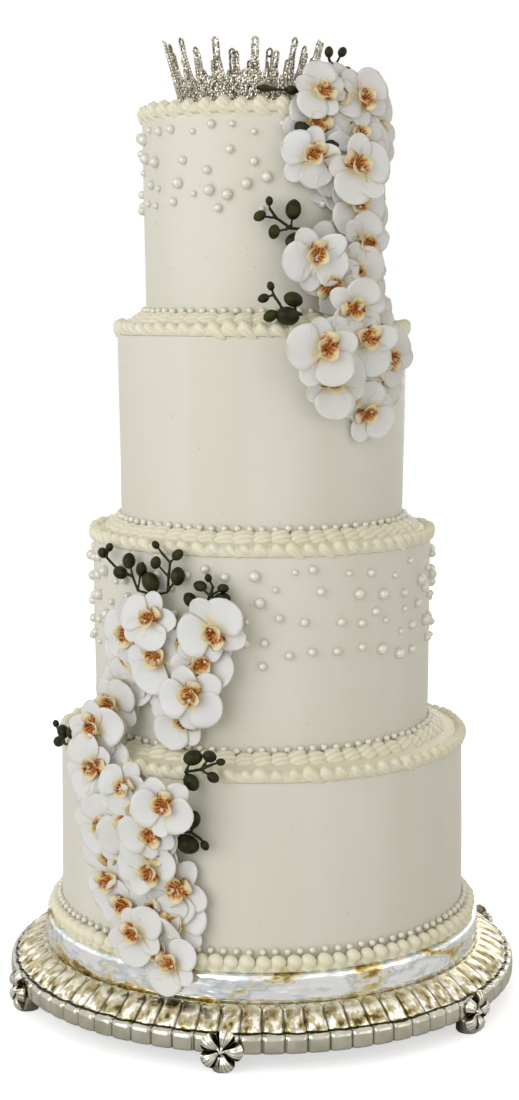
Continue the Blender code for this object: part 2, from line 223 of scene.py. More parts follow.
def smooth_waves(angle, height, waves, size):
    """Gentle unevenness: a sum of sine waves round and up the cake, with random phases."""
    total = np.zeros(np.broadcast(angle, height).shape)
    for _ in range(waves):
        around = DICE.integers(1, 9)
        up = DICE.uniform(-60, 60)
        total += np.sin(around * angle + up * height + DICE.uniform(0, TAU))
    return size * total / math.sqrt(waves)


def make_piece(name, shape, finishes, nodes=(), smooth=True):
    """The shape as an object with its materials, riding on the cake and standing for these CAD nodes."""
    mesh = bpy.data.meshes.new(name)
    vertices, quads, triangles = shape["vertices"], shape["quads"], shape["triangles"]
    mesh.vertices.add(len(vertices))
    mesh.vertices.foreach_set("co", vertices.astype(np.float32).ravel())
    corners = np.concatenate([quads.ravel(), triangles.ravel()]).astype(np.int32)
    starts = np.concatenate(
        [4 * np.arange(len(quads)), 4 * len(quads) + 3 * np.arange(len(triangles))]
    ).astype(np.int32)
    mesh.loops.add(len(corners))
    mesh.loops.foreach_set("vertex_index", corners)
    mesh.polygons.add(len(starts))
    mesh.polygons.foreach_set("loop_start", starts)
    mesh.polygons.foreach_set("material_index", shape["finish"].astype(np.int32))
    mesh.polygons.foreach_set("use_smooth", np.full(len(starts), smooth))
    mesh.update(calc_edges=True)
    layer = mesh.uv_layers.new(name="UVMap")
    layer.data.foreach_set("uv", shape["uv"][corners].astype(np.float32).ravel())
    tone = mesh.attributes.new("tone", "FLOAT", "POINT")
    tone.data.foreach_set("value", shape["tone"].astype(np.float32))
    mesh.validate()
    for finish in finishes:
        mesh.materials.append(finish)
    piece = bpy.data.objects.new(name, mesh)
    bpy.context.scene.collection.objects.link(piece)
    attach(piece, "root")
    if nodes:
        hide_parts(*nodes)
    return piece


# Sizes read from the frame


def node_points(node):
    """The different corner points of a CAD node."""
    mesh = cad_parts[node].data
    points = np.empty(3 * len(mesh.vertices))
    mesh.vertices.foreach_get("co", points)
    return np.unique(np.round(points.reshape(-1, 3), 6), axis=0)


def tier_sizes(node):
    """(foot radius, foot height, top radius, top height) of a round node."""
    points = node_points(node)
    radii = np.hypot(points[:, 0], points[:, 1])
    low, high = points[:, 2].min(), points[:, 2].max()
    near_low = points[:, 2] < low + 1 * MM
    near_high = points[:, 2] > high - 1 * MM
    return radii[near_low].max(), low, radii[near_high].max(), high


# Finishes


class Nodes:
    """Short ways to add nodes to a tree of nodes and to join them."""

    def __init__(self, tree):
        self.tree = tree

    def add(self, kind, **settings):
        node = self.tree.nodes.new(kind)
        for setting, value in settings.items():
            setattr(node, setting, value)
        return node

    def put(self, node, socket, source):
        """A value or another node's output into an input."""
        if hasattr(source, "is_output"):
            self.tree.links.new(source, node.inputs[socket])
        else:
            node.inputs[socket].default_value = source

    def ramp(self, value, low, high, low_value=0.0, high_value=1.0):
        """The value carried from the range low..high to low_value..high_value."""
        node = self.add("ShaderNodeMapRange")
        self.put(node, "Value", value)
        self.put(node, "From Min", low)
        self.put(node, "From Max", high)
        self.put(node, "To Min", low_value)
        self.put(node, "To Max", high_value)
        return node.outputs["Result"]

    def math(self, operation, first, second=0.0):
        node = self.add("ShaderNodeMath", operation=operation)
        self.put(node, 0, first)
        self.put(node, 1, second)
        return node.outputs[0]

    def mix(self, amount, first, second):
        """From the first colour to the second."""
        node = self.add("ShaderNodeMix", data_type="RGBA")
        self.put(node, 0, amount)
        for socket, source in ((6, first), (7, second)):
            self.put(node, socket, source if hasattr(source, "is_output") else (*source, 1))
        return node.outputs[2]

    def bands(self, value, stops):
        """A colour that runs through these (value, colour) stops."""
        node = self.add("ShaderNodeValToRGB")
        self.put(node, 0, value)
        points = node.color_ramp.elements
        while len(points) < len(stops):
            points.new(0.5)
        for point, (position, color) in zip(points, stops):
            point.position = position
            point.color = (*color, 1)
        return node.outputs["Color"]


def node_group(name, inputs, outputs):
    """An empty group with these (name, kind) sockets: its nodes, and the nodes that hold its ends."""
    tree = bpy.data.node_groups.new(name, "ShaderNodeTree")
    for socket, kind in inputs:
        tree.interface.new_socket(socket, in_out="INPUT", socket_type=f"NodeSocket{kind}")
    for socket, kind in outputs:
        tree.interface.new_socket(socket, in_out="OUTPUT", socket_type=f"NodeSocket{kind}")
    nodes = Nodes(tree)
    return nodes, nodes.add("NodeGroupInput").outputs, nodes.add("NodeGroupOutput")


def mottling_group():
    """Uneven patches: cloudy noise over the place, which Stretch draws out along an axis."""
    inputs = (("Place", "Vector"), ("Stretch", "Vector"), ("Scale", "Float"), ("Detail", "Float"))
    nodes, given, result = node_group("mottling", inputs, (("Amount", "Float"),))
    shift = nodes.add("ShaderNodeMapping")
    nodes.put(shift, "Vector", given["Place"])
    nodes.put(shift, "Scale", given["Stretch"])
    cloud = nodes.add("ShaderNodeTexNoise")
    nodes.put(cloud, "Vector", shift.outputs["Vector"])
    nodes.put(cloud, "Scale", given["Scale"])
    nodes.put(cloud, "Detail", given["Detail"])
    nodes.put(result, "Amount", cloud.outputs["Fac"])
    return nodes.tree


def shading_group():
    """Painted shade where Tone is low: the colour darkens to the shaded colour in a hollow, rising to the
    open colour at Open.
    """
    inputs = (("Tone", "Float"), ("Open", "Float"), ("Hollow", "Color"), ("Color", "Color"))
    nodes, given, result = node_group("hollow shading", inputs, (("Color", "Color"),))
    share = nodes.ramp(given["Tone"], 0.0, given["Open"])
    nodes.put(result, "Color", nodes.mix(share, given["Hollow"], given["Color"]))
    return nodes.tree


MOTTLING = mottling_group()
SHADING = shading_group()


class Finish(Nodes):
    """A Principled material of one of the cake's surfaces."""

    def __init__(self, name, color, roughness, **sockets):
        self.material = bpy.data.materials.new(name)
        self.material.use_nodes = True
        super().__init__(self.material.node_tree)
        self.shader = self.tree.nodes["Principled BSDF"]
        self.shader.inputs["Base Color"].default_value = (*color, 1)
        self.shader.inputs["Roughness"].default_value = roughness
        for socket, value in sockets.items():
            self.shader.inputs[socket.replace("_", " ")].default_value = value
        self.place = self.add("ShaderNodeTexCoord").outputs["Object"]

    def noise(self, scale, detail=3.0, stretch=(1, 1, 1), place=None):
        """Mottling at this scale, from 0 to 1 and mostly near 0.5."""
        node = self.add("ShaderNodeGroup", node_tree=MOTTLING)
        self.put(node, "Place", place or self.place)
        self.put(node, "Stretch", stretch)
        self.put(node, "Scale", scale)
        self.put(node, "Detail", detail)
        return node.outputs["Amount"]

    def shade(self, color, hollow, open_at):
        """The colour with painted shade: darkened to the hollow colour where the piece's tone is low."""
        node = self.add("ShaderNodeGroup", node_tree=SHADING)
        self.put(node, "Tone", self.attribute("tone"))
        self.put(node, "Open", open_at)
        self.put(node, "Hollow", (*hollow, 1))
        self.put(node, "Color", color)
        return node.outputs["Color"]

    def attribute(self, name):
        return self.add("ShaderNodeAttribute", attribute_name=name).outputs["Fac"]

    def uv(self):
        split = self.add("ShaderNodeSeparateXYZ")
        self.put(split, 0, self.add("ShaderNodeUVMap", uv_map="UVMap").outputs["UV"])
        return split.outputs["X"], split.outputs["Y"]

    def bump(self, height, strength, distance):
        node = self.add("ShaderNodeBump")
        self.put(node, "Strength", strength)
        self.put(node, "Distance", distance)
        self.put(node, "Height", height)
        self.put(self.shader, "Normal", node.outputs["Normal"])


def smoothed_buttercream():
    """Ivory icing drawn smooth with a long knife: faint upright bands, level drag lines and rare pinholes."""
    icing = Finish("smoothed buttercream", (0.76, 0.74, 0.66), 0.5, Specular_IOR_Level=0.3)
    bands = icing.noise(14, 2, (1, 1, 0.06))
    drag = icing.noise(60, 4, (0.15, 0.15, 3.0))
    cloudy = icing.noise(6, 3)
    color = icing.mix(icing.ramp(bands, 0.35, 0.65), (0.715, 0.70, 0.61), (0.765, 0.755, 0.69))
    color = icing.mix(icing.ramp(cloudy, 0.4, 0.75, 0.0, 0.4), color, (0.73, 0.71, 0.60))
    pinholes = icing.ramp(icing.noise(230, 1), 0.765, 0.78)
    color = icing.mix(icing.math("MULTIPLY", pinholes, 0.35), color, (0.42, 0.40, 0.30))
    icing.put(icing.shader, "Base Color", color)
    icing.put(icing.shader, "Roughness", icing.ramp(drag, 0.3, 0.7, 0.42, 0.56))
    relief = icing.math("ADD", icing.math("MULTIPLY", drag, 0.5), bands)
    relief = icing.math("SUBTRACT", relief, icing.math("MULTIPLY", pinholes, 0.7))
    icing.bump(relief, 0.35, 0.6 * MM)
    return icing.material


def piped_buttercream():
    """Piped icing, a little yellower, with soft painted shade in the hollows, and fine air bubbles."""
    cream = Finish("piped buttercream", (0.82, 0.79, 0.68), 0.48, Specular_IOR_Level=0.3)
    cream.put(cream.shader, "Subsurface Weight", 0.15)
    cream.put(cream.shader, "Subsurface Scale", 4 * MM)
    cream.put(cream.shader, "Subsurface Radius", (1.0, 0.9, 0.6))
    patches = cream.noise(25, 3)
    color = cream.mix(cream.ramp(patches, 0.35, 0.7), (0.875, 0.85, 0.72), (0.865, 0.825, 0.63))
    # Painted shade: the cream darkens to a deep yellow where the piece's tone is low, in grooves and under
    # the shells.
    color = cream.shade(color, (0.76, 0.71, 0.50), 0.6)
    cream.put(cream.shader, "Base Color", color)
    cream.bump(cream.noise(420, 3), 0.25, 0.3 * MM)
    return cream.material


def sugar_pearl():
    """Ivory pearls with a smooth lustrous skin, and painted shade towards their edges."""
    coat = {"Coat_Weight": 0.5, "Coat_Roughness": 0.08}
    pearl = Finish("sugar pearl", (0.74, 0.72, 0.64), 0.22, Metallic=0.1, **coat)
    tint = pearl.ramp(pearl.attribute("tone"), 0, 1)
    color = pearl.mix(tint, (0.84, 0.825, 0.75), (0.79, 0.77, 0.68))
    # Painted shade: the pearl darkens towards its edges as seen from the camera.
    facing = pearl.add("ShaderNodeLayerWeight")
    facing.inputs["Blend"].default_value = 0.45
    color = pearl.mix(facing.outputs["Facing"], color, (0.60, 0.575, 0.48))
    pearl.put(pearl.shader, "Base Color", color)
    pearl.put(pearl.shader, "Roughness", pearl.ramp(pearl.noise(300, 2), 0.3, 0.7, 0.16, 0.28))
    return pearl.material


def petal_fabric():
    """Cool white petals with fine veins, a thin cream rim and a yellow throat."""
    petal = Finish("orchid petal", (0.74, 0.75, 0.77), 0.5, Specular_IOR_Level=0.3)
    petal.put(petal.shader, "Subsurface Weight", 0.1)
    petal.put(petal.shader, "Subsurface Scale", 2 * MM)
    across, along = petal.uv()
    off_middle = petal.math("ABSOLUTE", petal.math("SUBTRACT", across, 0.5))
    edge = petal.ramp(petal.math("MAXIMUM", petal.math("MULTIPLY", off_middle, 2.0), along), 0.95, 1.0)
    fan = petal.math("MULTIPLY", petal.math("SUBTRACT", across, 0.5), 60.0)
    veins = petal.ramp(petal.math("SINE", fan), 0.6, 1.0, 0.0, 0.12)
    color = petal.mix(petal.ramp(petal.attribute("tone"), 0, 1), (0.80, 0.805, 0.82), (0.735, 0.74, 0.72))
    color = petal.mix(veins, color, (0.66, 0.67, 0.66))
    color = petal.mix(petal.math("MULTIPLY", edge, 0.8), color, (0.78, 0.74, 0.58))
    reach = petal.math("ADD", along, petal.math("MULTIPLY", petal.noise(90, 3), 0.14))
    throat = petal.ramp(reach, 0.42, 0.26)
    color = petal.mix(petal.math("MULTIPLY", throat, 0.8), color, (0.76, 0.66, 0.38))
    petal.put(petal.shader, "Base Color", color)
    petal.put(petal.shader, "Roughness", petal.ramp(petal.noise(160, 2), 0.3, 0.7, 0.42, 0.6))
    ribs = petal.math("MULTIPLY", petal.math("SINE", fan), 0.4)
    petal.bump(petal.math("ADD", ribs, petal.noise(200, 3)), 0.1, 0.4 * MM)
    return petal.material


def lip_fabric():
    """The lip: cream edges, yellow within and rust-red stripes and spots at its heart."""
    lip = Finish("orchid lip", (0.70, 0.35, 0.08), 0.42)
    across, along = lip.uv()
    wander = lip.noise(230, 3)
    bent = lip.math("ADD", lip.math("MULTIPLY", across, 30.0), lip.math("MULTIPLY", wander, 11.0))
    stripes = lip.math("SINE", bent)
    inwards = lip.math("MULTIPLY", lip.math("SUBTRACT", 1.0, along), 0.35)
    blotch = lip.ramp(lip.math("ADD", wander, inwards), 0.52, 0.7)
    warm = lip.mix(lip.ramp(stripes, -0.3, 0.5), (0.62, 0.22, 0.025), (0.20, 0.035, 0.006))
    gold = lip.mix(lip.ramp(wander, 0.35, 0.6), (0.78, 0.66, 0.34), (0.70, 0.42, 0.10))
    color = lip.mix(blotch, gold, warm)
    edge = lip.ramp(lip.math("ADD", along, lip.math("MULTIPLY", wander, 0.5)), 0.85, 1.15)
    color = lip.mix(edge, color, (0.80, 0.73, 0.48))
    lip.put(lip.shader, "Base Color", color)
    lip.put(lip.shader, "Roughness", lip.ramp(wander, 0.3, 0.7, 0.34, 0.5))
    lip.bump(lip.math("ADD", stripes, wander), 0.25, 0.4 * MM)
    return lip.material


def column_wax():
    """The small pale knob over the lip."""
    wax = Finish("orchid column", (0.70, 0.70, 0.58), 0.38)
    color = wax.mix(wax.ramp(wax.noise(240, 2), 0.35, 0.65), (0.74, 0.72, 0.58), (0.62, 0.58, 0.34))
    wax.put(wax.shader, "Base Color", color)
    wax.bump(wax.noise(500, 2), 0.15, 0.2 * MM)
    return wax.material


def bud_skin():
    """Very dark olive buds and stems with a dull waxy skin."""
    bud = Finish("orchid bud", (0.015, 0.016, 0.003), 0.5, Specular_IOR_Level=0.18)
    blotch = bud.ramp(bud.noise(110, 4), 0.42, 0.72)
    color = bud.mix(blotch, (0.010, 0.011, 0.001), (0.042, 0.045, 0.006))
    bud.put(bud.shader, "Base Color", color)
    bud.put(bud.shader, "Roughness", bud.ramp(blotch, 0, 1, 0.36, 0.55))
    bud.bump(bud.noise(600, 3), 0.2, 0.25 * MM)
    return bud.material


def polished_silver():
    """Old silver plate: a painted highlight where it stands proud, brown-black painted shade in grooves, and
    warm and cool streaks of patina and painted reflection.
    """
    silver = Finish("polished silver", (0.50, 0.49, 0.42), 0.14, Metallic=1.0)
    painted_light = silver.attribute("tone")
    # Streaks of patina and painted reflection: warm brown streaks, and bright painted reflections where the
    # ripple noise is high.
    warm = silver.ramp(silver.noise(70, 3, (1, 1, 0.6)), 0.45, 0.62)
    color = silver.mix(warm, (0.66, 0.65, 0.56), (0.48, 0.42, 0.26))
    ripple = silver.ramp(silver.noise(150, 2, (1, 1, 0.35)), 0.50, 0.62)
    color = silver.mix(ripple, color, (0.92, 0.90, 0.82))
    # Painted shade in grooves, and a painted highlight where the piece's tone is high.
    color = silver.mix(silver.ramp(painted_light, 0.12, 0.75), (0.03, 0.024, 0.01), color)
    color = silver.mix(silver.ramp(painted_light, 0.72, 1.0, 0.0, 0.85), color, (0.90, 0.88, 0.80))
    silver.put(silver.shader, "Base Color", color)
    silver.put(silver.shader, "Roughness", silver.ramp(silver.noise(140, 3), 0.3, 0.7, 0.1, 0.26))
    silver.bump(silver.noise(130, 3), 0.35, 1.2 * MM)
    return silver.material


def hammered_silver():
    """Beaten silver. Each small flat face shows a painted reflection: gold, brown, white, pale blue or grey.
    """
    silver = Finish("hammered silver", (0.60, 0.56, 0.42), 0.1, Metallic=1.0)
    stretch = silver.add("ShaderNodeMapping")
    silver.put(stretch, "Vector", silver.place)
    stretch.inputs["Scale"].default_value = (1, 1, 2.1)
    faces = silver.add("ShaderNodeTexVoronoi")
    silver.put(faces, "Vector", stretch.outputs["Vector"])
    faces.inputs["Scale"].default_value = 105
    split = silver.add("ShaderNodeSeparateColor")
    silver.put(split, 0, faces.outputs["Color"])
    # Painted reflections: broad zones, specks and each facet's own pick choose colours from the bands below.
    zone = silver.ramp(silver.noise(17, 2, (1, 1, 3.2)), 0.38, 0.58, 0.0, 0.68)
    speck = silver.math("MULTIPLY", silver.math("SUBTRACT", silver.noise(120, 1), 0.42), 0.4)
    share = silver.math("MULTIPLY", split.outputs["Red"], 0.32)
    reflection_pick = silver.math("ADD", share, silver.math("ADD", zone, speck))
    color = silver.bands(
        reflection_pick,
        (
            (0.0, (0.14, 0.09, 0.025)),
            (0.14, (0.38, 0.28, 0.10)),
            (0.26, (0.72, 0.58, 0.27)),
            (0.38, (0.78, 0.73, 0.52)),
            (0.46, (0.95, 0.95, 0.92)),
            (0.58, (0.70, 0.70, 0.62)),
            (0.70, (0.72, 0.82, 0.93)),
            (0.82, (0.97, 0.98, 0.99)),
        ),
    )
    silver.put(silver.shader, "Base Color", color)
    silver.put(silver.shader, "Roughness", silver.ramp(split.outputs["Green"], 0, 1, 0.06, 0.24))
    silver.bump(silver.math("ADD", faces.outputs["Distance"], silver.noise(60, 2)), 0.3, 1.2 * MM)
    return silver.material


def gadrooned_silver():
    """The rim's silver: plain grey faces, a brown painted shadow line over them, then painted bright and gold
    reflections along wrinkles, with painted shade in the grooves and on the underside.
    """
    silver = Finish("gadrooned silver", (0.5, 0.48, 0.38), 0.12, Metallic=1.0)
    around, down = silver.uv()
    spot = silver.add("ShaderNodeCombineXYZ")
    silver.put(spot, 0, silver.math("MULTIPLY", around, 2.2 * GADROONS))
    silver.put(spot, 1, silver.math("MULTIPLY", down, 6.5))
    wrinkle = silver.noise(1.0, 2, place=spot.outputs[0])
    # Painted reflections: the wrinkle noise picks dark brown, gold and bright colours, and gold arches near
    # the drum.
    upper = silver.bands(
        wrinkle,
        (
            (0.33, (0.10, 0.075, 0.025)),
            (0.39, (0.36, 0.29, 0.12)),
            (0.46, (0.52, 0.46, 0.29)),
            (0.52, (0.62, 0.55, 0.36)),
            (0.56, (0.95, 0.92, 0.80)),
            (0.66, (0.98, 0.97, 0.92)),
        ),
    )
    arch = silver.mix(silver.ramp(wrinkle, 0.4, 0.6), (0.40, 0.33, 0.17), (0.66, 0.62, 0.46))
    upper = silver.mix(silver.ramp(down, 0.2, 0.32), arch, upper)
    face = silver.mix(silver.ramp(silver.noise(70, 3), 0.38, 0.66), (0.60, 0.58, 0.49), (0.47, 0.45, 0.35))
    wander = silver.math("MULTIPLY", silver.math("SUBTRACT", silver.noise(60, 3), 0.5), 0.16)
    level = silver.math("ADD", down, wander)
    color = silver.mix(silver.ramp(level, 0.55, 0.57), upper, face)
    # A brown painted shadow line over the faces.
    line = silver.math("MULTIPLY", silver.ramp(level, 0.49, 0.505), silver.ramp(level, 0.575, 0.56))
    color = silver.mix(line, color, (0.03, 0.024, 0.01))
    # Painted shade in the grooves and along the arch line, where the rim's tone is low.
    color = silver.shade(color, (0.03, 0.024, 0.01), 0.5)
    # Painted shade on the underside at the bottom edge.
    color = silver.mix(silver.ramp(down, 0.93, 0.97), color, (0.06, 0.055, 0.04))
    silver.put(silver.shader, "Base Color", color)
    silver.put(silver.shader, "Roughness", silver.ramp(wrinkle, 0.3, 0.7, 0.1, 0.26))
    silver.bump(silver.math("MULTIPLY", wrinkle, silver.ramp(down, 0.6, 0.5, 0.1, 1.0)), 0.6, 2 * MM)
    return silver.material


def rhinestone():
    """Cut stones in silver cups. Each stone has its own brightness."""
    stone = Finish("rhinestone", (0.6, 0.58, 0.52), 0.1, Metallic=0.85)
    tone = stone.attribute("tone")
    color = stone.mix(stone.ramp(tone, 0.1, 0.8), (0.17, 0.15, 0.11), (0.84, 0.80, 0.68))
    tint = stone.ramp(stone.noise(500, 1), 0.55, 0.7, 0.0, 0.45)
    color = stone.mix(tint, color, (0.55, 0.47, 0.30))
    stone.put(stone.shader, "Base Color", color)
    stone.put(stone.shader, "Roughness", stone.ramp(tone, 0, 1, 0.24, 0.08))
    return stone.material


def tiara_wire():
    """The dull silver wire behind the stones, browned where the stones shade it."""
    wire = Finish("tiara wire", (0.2, 0.18, 0.13), 0.35, Metallic=0.9)
    color = wire.mix(wire.ramp(wire.noise(260, 2), 0.4, 0.65), (0.13, 0.115, 0.08), (0.40, 0.37, 0.29))
    wire.put(wire.shader, "Base Color", color)
    wire.put(wire.shader, "Roughness", wire.ramp(wire.noise(400, 2), 0.3, 0.7, 0.25, 0.45))
    wire.bump(wire.noise(700, 2), 0.3, 0.3 * MM)
    return wire.material


# The cake


def make_tier(node, icing):
    """A tier: a flat top, a rounded edge, and a side that tapers and waves a little."""
    foot_radius, foot, top_radius, top = tier_sizes(node)
    rounding = 3 * MM
    bend = np.linspace(0, math.pi / 2, 6)
    side = np.linspace(0, 1, 40)[1:]
    side_heights = top - rounding + (foot - top + rounding) * side
    side_radii = top_radius + (foot_radius - top_radius) * side
    edge_radii = top_radius - rounding + rounding * np.sin(bend)
    edge_heights = top - rounding + rounding * np.cos(bend)
    flat_radii = [0.3 * top_radius, 0.7 * top_radius]
    radii = np.concatenate([flat_radii, edge_radii, side_radii, [0.5 * foot_radius]])
    heights = np.concatenate([[top, top], edge_heights, side_heights, [foot]])
    shape = turned_form(radii, heights, 240)
    points = shape["vertices"]
    azimuth = np.arctan2(points[:, 0], -points[:, 1])
    radius = np.hypot(points[:, 0], points[:, 1])
    on_side = (radius > 0.97 * min(foot_radius, top_radius)) & (points[:, 2] < top - 0.5 * MM)
    wave = smooth_waves(azimuth, points[:, 2], 7, 0.22 * MM) - 0.35 * MM
    scale = 1 + np.where(on_side, wave, 0) / np.maximum(radius, 1 * MM)
    points[:, :2] *= scale[:, None]
    make_piece(f"{node}_icing", shape, [icing], [node])


def shell_form(length, width, height, ridges, twist, depth=0.11, rows=6, columns=14):
    """One piped shell along X, from a full head at -X to a tail at +X.

    Its girth is a power of the sine of pi times along to the power 0.62, times a cosine round it for the
    ridges, whose phase turns by twist from end to end.
    """
    along = np.linspace(0, 1, rows + 2)[1:-1]
    around = TAU * np.arange(columns) / columns
    swell = np.sin(math.pi * along**0.62) ** 0.75
    ridge = 1 + depth * np.cos(ridges * around[None, :] + twist * along[:, None])
    radius = swell[:, None] * ridge
    x = np.broadcast_to(length * (along[:, None] - 0.42), radius.shape)
    y = 0.5 * height * radius * np.cos(around) + 0.12 * height * (0.5 - along[:, None])
    z = -0.5 * width * radius * np.sin(around)
    first = (x[0, 0] - 0.06 * length, y[0].mean(), 0)
    last = (length * 0.58, y[-1].mean(), 0)
    # Painted shade: the tone is low in the grooves between the ridges, where the cream is darkened.
    tone = np.clip(0.5 + 0.5 * (ridge - 1) / depth, 0, 1)
    return poled_form(first, np.stack([x, y, z], -1), last, tone)


def ruffle_form(length, width, height, coils, slant=1.2, depth=0.13, rows=9, columns=10):
    """A short coiled shell along Z.

    Its girth is the root of the sine of pi times along to the power 0.8, times a cosine along it for the
    turns of the bag, whose phase swings by slant radians round it, so that the turns lean.
    """
    along = np.linspace(0, 1, rows + 2)[1:-1]
    around = TAU * np.arange(columns) / columns
    swell = np.sin(math.pi * along**0.8) ** 0.5
    coil = 1 + depth * np.cos(TAU * coils * along[:, None] + slant * np.cos(around)[None, :])
    radius = swell[:, None] * coil
    x = 0.5 * width * radius * np.cos(around)
    y = 0.5 * height * radius * np.sin(around)
    z = np.broadcast_to(length * (along[:, None] - 0.5), radius.shape)
    # Painted shade: the tone is low in the grooves between the turns, where the cream is darkened.
    tone = np.clip(0.5 + 0.5 * (coil - 1) / depth, 0, 1)
    return poled_form((0, 0, -0.52 * length), np.stack([x, y, z], -1), (0, 0, 0.52 * length), tone)


def row_of(one, pitch, radius, height, lean=0.0, tip=0.0, roll=0.0, uneven=0.06):
    """Copies round the cake at one radius, each a little different in size, place and turn."""
    count = round(TAU * radius / pitch)
    azimuths = TAU * (np.arange(count) + DICE.uniform(-0.07, 0.07, count)) / count
    axes = cake_frames(azimuths)
    axes = axes @ turn_about("Z", np.radians(lean) + DICE.normal(0, 0.06, count))
    axes = axes @ turn_about("X", np.radians(tip) + DICE.normal(0, 0.05, count))
    axes = axes @ turn_about("Y", np.radians(roll) + DICE.normal(0, 0.05, count))
    axes = axes * DICE.normal(1, uneven, count)[:, None, None]
    places = cake_points(azimuths, radius, height + DICE.normal(0, 0.35 * MM, count))
    return copies(one, axes, places)


def ring_bed(profile, columns=180):
    """A smooth closed ring of icing under the shells. Its profile is a closed loop of (radius, height)."""
    profile = np.array(profile)
    angle = TAU * np.arange(columns) / columns
    points = cake_points(angle[None, :], profile[:, :1], profile[:, 1:])
    quads = grid_faces(len(profile), columns, True, True)
    # A low tone all over gives the bed painted shade under the shells.
    return form(points.reshape(-1, 3), quads, tone=np.full(points.shape[0] * columns, 0.25))


def make_top_border(cream):
    """Large shells round the top tier's edge."""
    radius, top = tier_sizes("tier_1")[2:]
    shell = shell_form(21 * MM, 13 * MM, 15 * MM, 8, 0.8, 0.09, 8, 24)
    row = row_of(shell, TOP_SHELL_PITCH, radius - 3 * MM, top - 3.5 * MM, lean=-34, uneven=0.06)
    bed = ring_bed(
        [
            (radius - 10 * MM, top + 0.3 * MM),
            (radius - 8 * MM, top + 2 * MM),
            (radius - 1 * MM, top + 1.5 * MM),
            (radius + 3 * MM, top - 5 * MM),
            (radius + 0.2 * MM, top - 8 * MM),
        ]
    )
    make_piece("top_border_shells", joined([bed, row]), [cream], ["piping_top_border"])


def make_ledge(number, cream):
    """The ledge of a tier: ruffled shells that lean on the tier above, and slanting shells along the edge."""
    radius, top = tier_sizes(f"tier_{number}")[2:]
    wall = tier_sizes(f"tier_{number - 1}")[0]
    bed = ring_bed(
        [
            (wall + 0.4 * MM, top + 0.3 * MM),
            (wall + 0.4 * MM, top + 9 * MM),
            (wall + 7 * MM, top + 6 * MM),
            (radius - 6 * MM, top + 3.5 * MM),
            (radius + 1.5 * MM, top + 1 * MM),
            (radius + 1.5 * MM, top - 5 * MM),
            (radius + 0.2 * MM, top - 6 * MM),
            (radius - 0.5 * MM, top + 0.3 * MM),
        ]
    )
    ruffle = ruffle_form(22 * MM, 19 * MM, 8.5 * MM, 4.2, 2.6, 0.10, 13, 12)
    inner = row_of(ruffle, FOOT_SHELL_PITCH, wall + 8.5 * MM, top + 6.5 * MM, tip=36, uneven=0.04)
    shell = shell_form(20 * MM, 10 * MM, 10.5 * MM, 6, 1.6, 0.08, 6, 14)
    edge = row_of(shell, EDGE_SHELL_PITCH, radius - 1.5 * MM, top - 0.5 * MM, lean=-30, uneven=0.09)
    shape = joined([bed, inner, edge])
    make_piece(f"ledge_{number}_piping", shape, [cream], [f"piping_ledge_{number}"])


def make_base_row(cream):
    """Upright bead-like shells where the cake meets the plateau."""
    wall, floor = tier_sizes("tier_4")[:2]
    bead = ruffle_form(15 * MM, 14.5 * MM, 13 * MM, 1.2, rows=7, columns=12)
    row = row_of(bead, BASE_SHELL_PITCH, wall + 5 * MM, floor + 6.8 * MM, tip=-78, uneven=0.04)
    bed = ring_bed(
        [
            (wall + 0.4 * MM, floor + 0.3 * MM),
            (wall + 0.4 * MM, floor + 9 * MM),
            (wall + 7 * MM, floor + 5 * MM),
            (wall + 8 * MM, floor + 0.3 * MM),
        ]
    )
    make_piece("base_row_shells", joined([bed, row]), [cream], ["piping_base_row"])


# Pearls


def pearl_form(radius):
    """A ball: rings of 12 points at radius times the sine of the polar angle, with a pole at each end."""
    polar = np.linspace(0, math.pi, 8)[1:-1]
    around = TAU * np.arange(12) / 12
    x = radius * np.sin(polar)[:, None] * np.cos(around)
    y = radius * np.sin(polar)[:, None] * np.sin(around)
    z = np.broadcast_to(-radius * np.cos(polar)[:, None], x.shape)
    return poled_form((0, 0, -radius), np.stack([y, x, z], -1), (0, 0, radius))


def make_pearl_strings(pearl):
    """A string of pearls round the foot of each tier, just above the shells."""
    rows = []
    for number in (1, 2, 3, 4):
        wall, foot = tier_sizes(f"tier_{number}")[:2]
        height = foot + (14.5 if number < 4 else 16) * MM
        radius = wall + 0.6 * PEARL_RADIUS
        count = round(TAU * radius / PEARL_PITCH)
        azimuths = TAU * (np.arange(count) + DICE.uniform(-0.06, 0.06, count)) / count
        places = cake_points(azimuths, radius, height + DICE.normal(0, 0.3 * MM, count))
        rows.append(copies(pearl_form(PEARL_RADIUS), cake_frames(azimuths), places, DICE.random(count)))
    make_piece("pearl_strings", joined(rows), [pearl])


def scattered_places(wall, low, high, spacing, count):
    """Points on a band of the wall, each the farthest from the others of a dozen random tries."""
    length = TAU * wall
    chosen = np.array([[0.0, low]])
    while len(chosen) < count:
        tries = np.stack([DICE.uniform(0, length, 12), DICE.uniform(low, high, 12)], 1)
        gaps = np.abs(tries[:, None, 0] - chosen[None, :, 0])
        gaps = np.minimum(gaps, length - gaps)
        nearest = np.hypot(gaps, tries[:, None, 1] - chosen[None, :, 1]).min(1)
        best = nearest.argmax()
        if nearest[best] < spacing:
            break
        chosen = np.vstack([chosen, tries[best]])
    return chosen[:, 0] / wall, chosen[:, 1]


